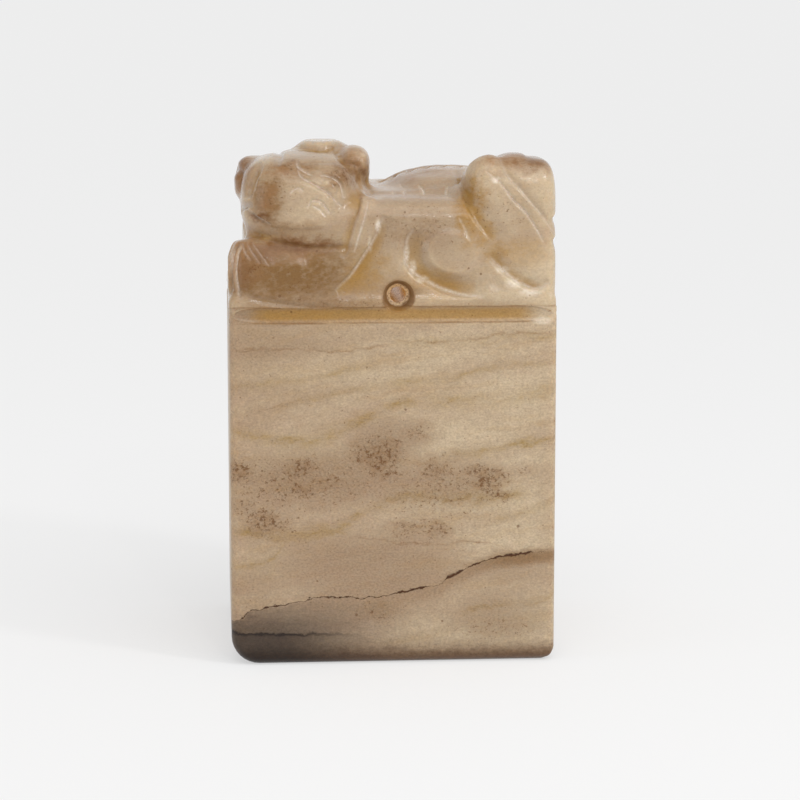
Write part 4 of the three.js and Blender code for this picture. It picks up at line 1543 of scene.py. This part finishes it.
        grain = self.noise(tree, place, (1.3, 1.3, 2.2), 5.0)
        breaks = self.noise(tree, bed_place, (0.22, 0.22, 0.8), 4.0)
        return Ground(
            place=place,
            bed_place=bed_place,
            bent=add(tree, "VectorMath", {0: wander, 1: (1.6, 1.6, 1.2), 2: place}, operation="MULTIPLY_ADD"),
            x=x,
            z=z,
            share=add(tree, "MapRange", {0: x, 1: -REACH, 2: REACH}),
            behind=behind,
            level=level,
            quick=quick,
            grain=grain,
            stir=self.noise(tree, place, (3.4, 3.4, 3.6), 4.0),
            ragged=add(tree, "MapRange", {0: grain, 1: 0.35, 2: 0.62, 3: 0.65, 4: 1.15}),
            breaks=add(tree, "MapRange", {0: breaks, 1: 0.38, 2: 0.62, 3: 0.3, 4: 1.25}),
            blot=self.blot_group(),
        )

    @staticmethod
    def blots(tree: Tree, place: Socket, group: Tree, spots: Sequence[Blot]) -> Socket:
        """Gives the strongest of several patches at each place.

        Args:
            tree: the material's tree.
            place: the place in millimetres.
            group: the patch group.
            spots: the patches.

        Returns:
            The amount.
        """
        total: Value = 0.0
        for spot in spots:
            inputs = {0: place, 1: spot.middle, 2: spot.size, 3: spot.strength}
            amount = add(tree, "Group", inputs, node_tree=group)
            total = add(tree, "Math", {0: total, 1: amount}, operation="MAXIMUM")
        return total

    @staticmethod
    def sheets(tree: Tree, ground: Ground, group: Tree, veins: Sequence[Vein]) -> Socket:
        """Gives the strongest of several veins at each place.

        Args:
            tree: the material's tree.
            ground: the stone's ground.
            group: the vein group.
            veins: the veins.

        Returns:
            The amount.
        """
        total: Value = 0.0
        for vein in veins:
            line = trace(tree, ground.share, vein.path)
            offset = add(tree, "Math", {0: ground.level, 1: line}, operation="SUBTRACT")
            start, end = vein.path[0][0], vein.path[-1][0]
            inputs = {0: offset, 1: ground.x, 2: vein.width, 3: start, 4: end, 5: vein.strength}
            amount = add(tree, "Group", inputs, node_tree=group)
            total = add(tree, "Math", {0: total, 1: amount}, operation="MAXIMUM")
        return total

    def clouded(self, tree: Tree, ground: Ground) -> Socket:
        """Colours the plain stone: paler and rosier clouds, 5 to 20 mm long, and wisps of honey.

        Args:
            tree: the material's tree.
            ground: the stone's ground.

        Returns:
            The colour.
        """
        clouds = self.noise(tree, ground.bed_place, (0.06, 0.06, 0.22), 5.0)
        side = add(tree, "MapRange", {0: ground.x, 1: -16.0, 2: 16.0, 3: -0.14, 4: 0.16})
        light = add(tree, "Math", {0: clouds, 1: side}, operation="ADD")
        light = add(tree, "MapRange", {0: light, 1: 0.3, 2: 0.74})
        warm = self.noise(tree, ground.bed_place, (0.05, 0.05, 0.16), 3.0)
        warm = add(tree, "MapRange", {0: warm, 1: 0.42, 2: 0.6})
        dim = add(tree, "Mix", {0: warm, 6: linear(self.rosy), 7: linear(self.body)}, 2, data_type="RGBA")
        colour = add(tree, "Mix", {0: light, 6: dim, 7: linear(self.pale)}, 2, data_type="RGBA")
        wisps = self.noise(tree, ground.bed_place, (0.12, 0.12, 0.7), 4.0)
        wisps = add(tree, "MapRange", {0: wisps, 1: 0.54, 2: 0.75, 3: 0.0, 4: 0.26})
        return add(tree, "Mix", {0: wisps, 6: colour, 7: linear(self.honey)}, 2, data_type="RGBA")

    def veined(self, tree: Tree, ground: Ground, colour: Socket) -> Socket:
        """Adds the veins and threads, which fade in and out along their way.

        Args:
            tree: the material's tree.
            ground: the stone's ground.
            colour: the stone's colour.

        Returns:
            The colour.
        """
        patchy = add(tree, "MapRange", {0: ground.grain, 1: 0.35, 2: 0.62, 3: 0.45, 4: 1.3})
        group = self.vein_group()
        for veins, tone in ((self.veins, self.streak), (self.threads, self.thread_and_shade)):
            amount = self.sheets(tree, ground, group, veins)
            amount = add(tree, "Math", {0: amount, 1: patchy}, operation="MULTIPLY")
            amount = add(tree, "Math", {0: amount, 1: ground.breaks}, operation="MULTIPLY")
            colour = add(tree, "Mix", {0: amount, 6: colour, 7: linear(tone)}, 2, data_type="RGBA")
        return colour

    def patched(
        self, tree: Tree, ground: Ground, colour: Socket, layers: Sequence[tuple[Sequence[Blot], str]]
    ) -> Socket:
        """Lays patches with ragged outlines over the stone.

        Args:
            tree: the material's tree.
            ground: the stone's ground.
            colour: the stone's colour.
            layers: the patches of each layer and their colour, the lowest layer first.

        Returns:
            The colour.
        """
        for spots, tone in layers:
            amount = self.blots(tree, ground.bent, ground.blot, spots)
            amount = add(tree, "Math", {0: amount, 1: ground.ragged}, operation="MULTIPLY")
            colour = add(tree, "Mix", {0: amount, 6: colour, 7: linear(tone)}, 2, data_type="RGBA")
        return colour

    def tinted(self, tree: Tree, ground: Ground, colour: Socket) -> Socket:
        """Adds the milky edges, worn paler and painted as highlights, the patches, the honey of the hollows,
        and the russet skin with painted shade under the chin and in creases.

        Args:
            tree: the material's tree.
            ground: the stone's ground.
            colour: the stone's colour.

        Returns:
            The colour.
        """
        hollow = add(tree, "Attribute", {}, "Fac", attribute_name="hollow")
        # convex edges are paler: wear, and a painted highlight on them
        edge = add(tree, "MapRange", {0: hollow, 1: -0.08, 2: -0.3, 3: 0.0, 4: 0.4})
        colour = add(tree, "Mix", {0: edge, 6: colour, 7: linear(self.milky_and_highlight)}, 2, data_type="RGBA")
        layers = (
            (self.shades, self.umber),
            (self.lights, self.milky_and_highlight),
            (self.ambers, self.amber),
            (self.washes, self.honey),
        )
        colour = self.patched(tree, ground, colour, layers)
        honeyed = add(tree, "MapRange", {0: hollow, 1: 0.02, 2: 0.26, 3: 0.0, 4: 0.8})
        colour = add(tree, "Mix", {0: honeyed, 6: colour, 7: linear(self.honey)}, 2, data_type="RGBA")
        # the russet skin, and its darkest places, partly painted shade
        skin = ((self.russets, self.russet), (self.dark_skin_and_shade, self.ruddy_and_shade))
        colour = self.patched(tree, ground, colour, skin)
        deep = add(tree, "MapRange", {0: hollow, 1: 0.25, 2: 0.6, 3: 0.0, 4: 0.85})
        return add(tree, "Mix", {0: deep, 6: colour, 7: linear(self.deep_honey)}, 2, data_type="RGBA")

    def grooved(self, tree: Tree, ground: Ground, colour: Socket) -> Socket:
        """Adds the honey of the groove, which ends before the corners, and thin dark lines of painted shade
        along its edges.

        Args:
            tree: the material's tree.
            ground: the stone's ground.
            colour: the stone's colour.

        Returns:
            The colour.
        """
        off_middle = add(tree, "Math", {0: ground.z, 1: GROOVE_MIDDLE}, operation="SUBTRACT")
        off_middle = add(tree, "Math", {0: off_middle}, operation="ABSOLUTE")
        band = add(
            tree, "MapRange", {0: off_middle, 1: 0.3, 2: 1.0, 3: 0.8, 4: 0.0}, interpolation_type="SMOOTHSTEP"
        )
        corner = add(tree, "VectorMath", {0: ground.place}, operation="ABSOLUTE")
        corner = add(tree, "VectorMath", {0: corner, 1: (-13.9, -11.6, 0.0)}, operation="ADD")
        corner_x, corner_y, _ = add(tree, "SeparateXYZ", {0: corner}).node.outputs
        corner = add(tree, "Math", {0: corner_x, 1: corner_y}, operation="MINIMUM")
        corner = add(
            tree, "MapRange", {0: corner, 1: -1.6, 2: 1.2, 3: 1.0, 4: 0.0}, interpolation_type="SMOOTHSTEP"
        )
        band = add(tree, "Math", {0: band, 1: corner}, operation="MULTIPLY")
        colour = add(tree, "Mix", {0: band, 6: colour, 7: linear(self.honey)}, 2, data_type="RGBA")
        # thin dark lines along the groove's top and bottom edges: painted shade
        edges = add(tree, "Math", {0: ground.quick, 1: 0.12, 2: off_middle}, operation="MULTIPLY_ADD")
        edges = add(tree, "Math", {0: edges, 1: -0.8}, operation="ADD")
        edges = add(tree, "Math", {0: edges}, operation="ABSOLUTE")
        edges = add(tree, "MapRange", {0: edges, 1: 0.02, 2: 0.12, 3: 0.6, 4: 0.0})
        edges = add(tree, "Math", {0: edges, 1: ground.breaks}, operation="MULTIPLY")
        return add(tree, "Mix", {0: edges, 6: colour, 7: linear(self.thread_and_shade)}, 2, data_type="RGBA")

    def specked(self, tree: Tree, ground: Ground, colour: Socket) -> tuple[Socket, Socket]:
        """Adds the specks, which are dense in clusters and rare elsewhere.

        Args:
            tree: the material's tree.
            ground: the stone's ground.
            colour: the stone's colour.

        Returns:
            The colour, and where the rare pits are.
        """
        cluster = self.blots(tree, ground.bent, ground.blot, self.clusters)
        limit = add(tree, "MapRange", {0: cluster, 1: 0.0, 2: 1.0, 3: 0.645, 4: 0.45})
        dots = add(tree, "Math", {0: ground.stir, 1: limit}, operation="SUBTRACT")
        dots = add(tree, "MapRange", {0: dots, 1: 0.0, 2: 0.12, 3: 0.0, 4: 0.72})
        haze = add(tree, "MapRange", {0: ground.grain, 1: 0.35, 2: 0.65, 3: 0.28, 4: 0.8})
        haze = add(tree, "Math", {0: cluster, 1: haze}, operation="MULTIPLY")
        pits = add(tree, "TexVoronoi", {"Vector": ground.place, "Scale": 0.8})
        rare = add(tree, "SeparateXYZ", {0: pits.node.outputs["Color"]})
        size = add(tree, "MapRange", {0: rare, 1: 0.55, 2: 1.0, 3: 0.0, 4: 0.15})
        pits = add(tree, "Math", {0: size, 1: pits}, operation="SUBTRACT")
        pits = add(tree, "MapRange", {0: pits, 1: 0.0, 2: 0.05, 3: 0.0, 4: 0.6})
        for amount, tone in ((haze, self.halo), (dots, self.speck), (pits, self.speck)):
            colour = add(tree, "Mix", {0: amount, 6: colour, 7: linear(tone)}, 2, data_type="RGBA")
        return colour, pits

    def flawed(self, tree: Tree, ground: Ground, colour: Socket) -> Socket:
        """Adds the crack, the smoky stain at the foot with its slit, and the brown of the foot.

        Args:
            tree: the material's tree.
            ground: the stone's ground.
            colour: the stone's colour.

        Returns:
            The colour.
        """
        share = ground.share
        height = add(tree, "Math", {0: ground.quick, 1: 0.3, 2: ground.z}, operation="MULTIPLY_ADD")
        height = add(tree, "Math", {0: ground.grain, 1: 0.7, 2: height}, operation="MULTIPLY_ADD")
        height = add(tree, "Math", {0: height, 1: -0.35}, operation="ADD")
        inputs = {0: ground.behind, 1: 2.0, 2: 9.0, 3: 1.0, 4: 0.0}
        front = add(tree, "MapRange", inputs, interpolation_type="SMOOTHSTEP")

        # the brown halo of the crack, and the crack in it
        offset = add(tree, "Math", {0: height, 1: trace(tree, share, self.crack, True)}, operation="SUBTRACT")
        away = add(tree, "Math", {0: offset}, operation="ABSOLUTE")
        under = add(tree, "Math", {0: offset, 1: 0.4}, operation="ADD")
        under = add(tree, "Math", {0: under}, operation="ABSOLUTE")
        glow = add(
            tree, "MapRange", {0: under, 1: 0.1, 2: 1.3, 3: 1.0, 4: 0.0}, interpolation_type="SMOOTHSTEP"
        )
        glow = add(tree, "Math", {0: glow, 1: trace(tree, share, self.halo_strength)}, operation="MULTIPLY")
        width = trace(tree, share, self.crack_width, True)
        gap = add(tree, "Math", {0: away, 1: width}, operation="DIVIDE")
        dark = add(
            tree, "MapRange", {0: gap, 1: 0.35, 2: 1.1, 3: 1.0, 4: 0.0}, interpolation_type="SMOOTHSTEP"
        )

        # the stain is darkest under its line and thins out up to the crack
        above = add(tree, "Math", {0: height, 1: trace(tree, share, self.stain_line)}, operation="SUBTRACT")
        haze = add(
            tree, "MapRange", {0: above, 1: 0.1, 2: 5.2, 3: 0.76, 4: 0.0}, interpolation_type="SMOOTHSTEP"
        )
        held = add(
            tree, "MapRange", {0: offset, 1: -0.25, 2: 0.25, 3: 1.0, 4: 0.15}, interpolation_type="SMOOTHSTEP"
        )
        haze = add(tree, "Math", {0: haze, 1: held}, operation="MULTIPLY")
        below = add(tree, "MapRange", {0: above, 1: -0.12, 2: 0.1, 3: 0.9, 4: 0.0})
        smoke = add(tree, "Math", {0: haze, 1: below}, operation="MAXIMUM")
        smoke = add(
            tree, "Math", {0: smoke, 1: trace(tree, share, self.stain_strength)}, operation="MULTIPLY"
        )

        # the slit along the stain's line, which ends before the middle of the block
        slit = add(tree, "Math", {0: above}, operation="ABSOLUTE")
        slit = add(tree, "MapRange", {0: slit, 1: 0.05, 2: 0.22, 3: 0.92, 4: 0.0})
        end = add(tree, "MapRange", {0: share, 1: 0.22, 2: 0.44, 3: 1.0, 4: 0.0})
        slit = add(tree, "Math", {0: slit, 1: end}, operation="MULTIPLY")
        layers = ((glow, self.halo), (dark, self.crack_colour), (smoke, self.smoke), (slit, self.slit))
        for amount, tone in layers:
            amount = add(tree, "Math", {0: amount, 1: front}, operation="MULTIPLY")
            colour = add(tree, "Mix", {0: amount, 6: colour, 7: linear(tone)}, 2, data_type="RGBA")
        foot = add(
            tree, "MapRange", {0: height, 1: 0.6, 2: 2.6, 3: 1.0, 4: 0.0}, interpolation_type="SMOOTHSTEP"
        )
        inputs = {0: foot, 6: colour, 7: linear(self.foot)}
        return add(tree, "Mix", inputs, 2, data_type="RGBA", blend_type="MULTIPLY")

    def rubbed_and_glint_places(self, tree: Tree, ground: Ground) -> Socket:
        """Finds the floors of the cut lines and the other places that the polish doesn't reach, painted pale
        as highlights too.

        Args:
            tree: the material's tree.
            ground: the stone's ground.

        Returns:
            How rough and pale each place is.
        """
        pale = add(tree, "Attribute", {}, "Fac", attribute_name="pale")
        rubs_and_glints = self.blots(tree, ground.place, ground.blot, self.rubs_and_glints)
        pale = add(tree, "Math", {0: pale, 1: rubs_and_glints}, operation="MAXIMUM")
        rough = add(tree, "MapRange", {0: ground.stir, 1: 0.35, 2: 0.6, 3: 0.45, 4: 1.0})
        return add(tree, "Math", {0: pale, 1: rough}, operation="MULTIPLY")

    def drilled(self, tree: Tree, ground: Ground, colour: Socket) -> tuple[Socket, Socket]:
        """Adds the cord hole's ruddy rim, its scored wall painted paler, and a painted glow that stands for
        the light that the stone lets through to it.

        Args:
            tree: the material's tree.
            ground: the stone's ground.
            colour: the stone's colour.

        Returns:
            The colour, and the painted glow.
        """
        hole_x, hole_z = CordHole.middle
        bore = CordHole.radius
        off_axis = add(tree, "VectorMath", {0: ground.place, 1: (-hole_x, 0.0, -hole_z)}, operation="ADD")
        off_axis = add(tree, "VectorMath", {0: off_axis, 1: (1.0, 0.0, 1.0)}, operation="MULTIPLY")
        off_axis = add(tree, "VectorMath", {0: off_axis}, "Value", operation="LENGTH")
        rim = add(tree, "MapRange", {0: off_axis, 1: 1.2, 2: 1.8, 3: 0.75, 4: 0.0})
        colour = add(tree, "Mix", {0: rim, 6: colour, 7: linear(self.ruddy_and_shade)}, 2, data_type="RGBA")
        # the wall inside the bore is painted paler, as if lit through the stone, with scored grain
        inside = add(tree, "MapRange", {0: off_axis, 1: 1.0, 2: 1.2, 3: 1.0, 4: 0.0})
        scored = add(tree, "MapRange", {0: ground.stir, 1: 0.35, 2: 0.62, 3: 0.2, 4: 1.2})
        inside = add(tree, "Math", {0: inside, 1: scored}, operation="MULTIPLY")
        colour = add(tree, "Mix", {0: inside, 6: colour, 7: linear(self.pale)}, 2, data_type="RGBA")
        # the glow is brighter towards the top of the bore: a painted light given by emission
        upper = add(tree, "MapRange", {0: ground.z, 1: hole_z - bore, 2: hole_z + bore, 3: 0.5, 4: 1.25})
        inside = add(tree, "Math", {0: inside, 1: upper}, operation="MULTIPLY")
        none = (0.0, 0.0, 0.0, 1.0)
        light = add(tree, "Mix", {0: inside, 6: none, 7: linear(self.lit)}, 2, data_type="RGBA")
        return colour, light

    def build(self) -> bpy.types.Material:
        """Makes the material.

        Returns:
            The material.
        """
        material = bpy.data.materials.new("polished_jade")
        material.use_nodes = True
        tree = material.node_tree
        tree.nodes.clear()
        ground = self.ground(tree)
        colour = self.clouded(tree, ground)
        colour = self.veined(tree, ground, colour)
        colour = self.tinted(tree, ground, colour)
        colour = self.grooved(tree, ground, colour)
        colour, pits = self.specked(tree, ground, colour)
        colour = self.flawed(tree, ground, colour)

        # a grain of a quarter of a millimetre, which the polish lessens
        sawn_to, polished_from = self.worked
        sand = self.noise(tree, ground.place, (4.0, 4.0, 5.5), 3.0)
        flecks = add(tree, "Math", {0: sand, 1: 2.0, 2: ground.grain}, operation="MULTIPLY_ADD")
        flecks = add(tree, "MapRange", {0: flecks, 1: 1.0, 2: 2.0, 3: 0.74, 4: 1.22})
        shown = add(tree, "MapRange", {0: ground.z, 1: sawn_to, 2: polished_from, 3: 1.0, 4: 0.5})
        inputs = {0: shown, 6: colour, 7: flecks}
        colour = add(tree, "Mix", inputs, 2, data_type="RGBA", blend_type="MULTIPLY")

        # pale and rough where the polish doesn't reach, and painted highlights there
        pale = self.rubbed_and_glint_places(tree, ground)
        colour = add(tree, "Mix", {0: pale, 6: colour, 7: linear(self.rubbed_and_glint)}, 2, data_type="RGBA")
        colour, light = self.drilled(tree, ground, colour)

        # the surface: grain and pits too fine to model, and a worn polish
        relief = add(tree, "Math", {0: pits, 1: -0.6, 2: ground.stir}, operation="MULTIPLY_ADD")
        bump = {"Strength": self.relief_share, "Distance": self.relief, "Height": relief}
        sawn, polish = self.roughness
        gloss = add(tree, "MapRange", {0: ground.z, 1: sawn_to, 2: polished_from, 3: sawn, 4: polish})
        gloss = add(tree, "Math", {0: pale, 1: self.rubbed_roughness, 2: gloss}, operation="MULTIPLY_ADD")
        inputs = {
            "Base Color": colour,
            "Roughness": gloss,
            "IOR": self.ior,
            "Specular IOR Level": self.sheen,
            "Normal": add(tree, "Bump", bump),
            "Subsurface Weight": self.depth_share,
            "Subsurface Radius": self.depth_reach,
            "Subsurface Scale": MM,
            # a painted glow in the cord hole, given by emission
            "Emission Color": light,
            "Emission Strength": 1.0,
        }
        shader = add(tree, "BsdfPrincipled", inputs)
        tree.links.new(shader, tree.nodes.new("ShaderNodeOutputMaterial").inputs[0])
        return material


def background_rays(tree: Tree) -> Socket:
    """Tells the rays that show the background from those that light the seal.

    Args:
        tree: the tree of the floor's material or of the world.

    Returns:
        1 for a ray from the camera, off a gloss or through glass, and 0 for any other.
    """
    rays = add(tree, "LightPath", {}).node.outputs
    seen = add(tree, "Math", {0: rays["Is Camera Ray"], 1: rays["Is Glossy Ray"]}, operation="MAXIMUM")
    return add(tree, "Math", {0: seen, 1: rays["Is Transmission Ray"]}, operation="MAXIMUM")


@dataclass(frozen=True)
class Lamp:
    """A square lamp that faces the seal.

    Attributes:
        name: its name.
        place: where it stands, in millimetres.
        size: the length of its sides, in millimetres.
        power: its power in watts.
    """

    name: str
    place: Place
    size: float
    power: float


@dataclass
class Studio:
    """The plain pale setting: floor, backdrop, lamps and the camera at the photograph's angle.

    Attributes:
        target: the point that the camera looks at, in millimetres.
        azimuth: the camera's turn about Z, in degrees.
        elevation: the camera's height above the horizon, in degrees.
        distance: how far the camera is from its target, in millimetres.
        sensor: the width of the camera's sensor, in millimetres.
        lens: its focal length, in millimetres.
        clips: how near and how far the camera sees, in metres.
        paper: the colour of the floor and of what lies behind it.
        floor_reach: half the length of the floor's sides, in millimetres.
        evenness: how much of the floor's colour as seen doesn't depend on the light.
        glow: the strength of the light from all round.
        key: the strength of the key light.
        key_from: the direction that the key light comes from.
        softness: how wide the key light looks, in degrees.
        lamps: the lamps whose light shows as highlights.
        lamp_height: the height that the lamps are turned to, in millimetres.
    """

    target: Place = (1.6, 0.0, 24.7)
    azimuth: float = -4.0
    elevation: float = 9.0
    distance: float = 280.0
    sensor: float = 36.0
    lens: float = 120.4
    clips: tuple[float, float] = (0.01, 10.0)
    paper: str = "#f1f1f1"
    floor_reach: float = 12000.0
    evenness: float = 0.6
    glow: float = 0.66
    key: float = 1.31
    key_from: Place = (0.22, -0.85, 1.15)
    softness: float = 60.0
    lamps: tuple[Lamp, ...] = (
        Lamp("left_panel", (-260.0, -120.0, 70.0), 160.0, 0.13),
        Lamp("right_panel", (220.0, -180.0, 200.0), 40.0, 0.24),
        Lamp("front_spot", (40.0, -260.0, 170.0), 14.0, 0.05),
    )
    lamp_height: float = 30.0

    def camera(self) -> None:
        """Places the camera."""
        data = bpy.data.cameras.new("camera")
        data.lens = self.lens
        data.sensor_width = self.sensor
        data.clip_start, data.clip_end = self.clips
        camera = bpy.data.objects.new("camera", data)
        bpy.context.scene.collection.objects.link(camera)
        turn, rise = math.radians(self.azimuth), math.radians(self.elevation)
        level = math.cos(rise)
        back = Vector((math.sin(turn) * level, -math.cos(turn) * level, math.sin(rise)))
        camera.location = (Vector(self.target) + back * self.distance) * MM
        camera.rotation_mode = "QUATERNION"
        camera.rotation_quaternion = (-back).to_track_quat("-Z", "Y")
        bpy.context.scene.camera = camera

    def hang(self, lamp: Lamp) -> None:
        """Adds a lamp and turns it to the seal.

        Args:
            lamp: the lamp.
        """
        data = bpy.data.lights.new(lamp.name, "AREA")
        data.shape = "SQUARE"
        data.size = lamp.size * MM
        data.energy = lamp.power
        hung = bpy.data.objects.new(lamp.name, data)
        bpy.context.scene.collection.objects.link(hung)
        hung.location = Vector(lamp.place) * MM
        aim = Vector((0, 0, self.lamp_height)) - Vector(lamp.place)
        hung.rotation_mode = "QUATERNION"
        hung.rotation_quaternion = aim.to_track_quat("-Z", "Y")

    def floor(self) -> None:
        """Makes the floor, which shows an even pale grey with the seal's faint shadow on it."""
        shape = bmesh.new()
        bmesh.ops.create_grid(shape, x_segments=1, y_segments=1, size=self.floor_reach * MM)
        floor = piece_of("floor", shape)
        material = bpy.data.materials.new("pale_paper")
        material.use_nodes = True
        tree = material.node_tree
        tree.nodes.clear()
        lit = add(tree, "BsdfDiffuse", {0: linear(self.paper)})
        plain = add(tree, "Emission", {0: linear(self.paper), 1: 1.0})
        share = add(tree, "Math", {0: background_rays(tree), 1: self.evenness}, operation="MULTIPLY")
        mixed = add(tree, "MixShader", {0: share, 1: lit, 2: plain})
        tree.links.new(mixed, tree.nodes.new("ShaderNodeOutputMaterial").inputs[0])
        floor.data.materials.append(material)

    def world(self) -> None:
        """Makes the even light from all round."""
        world = bpy.data.worlds.new("world")
        world.use_nodes = True
        tree = world.node_tree
        tree.nodes.clear()
        strength = add(tree, "MapRange", {0: background_rays(tree), 3: self.glow, 4: 1.0})
        sky = add(tree, "Background", {0: linear(self.paper), 1: strength})
        tree.links.new(sky, tree.nodes.new("ShaderNodeOutputWorld").inputs[0])
        bpy.context.scene.world = world

    def sun(self) -> None:
        """Adds the key light, from the right, in front and above."""
        data = bpy.data.lights.new("sun", "SUN")
        data.energy = self.key
        data.angle = math.radians(self.softness)
        lamp = bpy.data.objects.new("sun", data)
        bpy.context.scene.collection.objects.link(lamp)
        lamp.rotation_mode = "QUATERNION"
        lamp.rotation_quaternion = (-Vector(self.key_from)).to_track_quat("-Z", "Y")

    def build(self) -> None:
        """Makes the whole setting."""
        self.camera()
        self.floor()
        self.world()
        self.sun()
        for lamp in self.lamps:
            self.hang(lamp)
        bpy.context.scene.view_settings.view_transform = "Standard"


def main() -> None:
    """Builds the seal and its setting."""
    logging.basicConfig(level=logging.INFO, format="%(message)s")
    beast = Beast().build()
    find_hollows(beast, Beast.foot)
    block = Block()
    combine(beast, block.build(), "UNION")
    for turned_round in (False, True):
        for side in (-1, 1):
            combine(beast, block.groove(turned_round, side), "DIFFERENCE")
    combine(beast, CordHole().cutter(), "DIFFERENCE")
    beast.name = "carved_stone"
    beast.data.transform(Matrix.Scale(MM, 4))
    beast.data.shade_smooth()
    beast.data.set_sharp_from_angle(angle=math.radians(SHARP))
    log.info("carved_stone: %d faces", len(beast.data.polygons))
    beast.data.materials.clear()
    beast.data.materials.append(Jade().build())
    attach(beast, "root")
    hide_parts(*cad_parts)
    Studio().build()


if __name__ == "__main__":
    main()
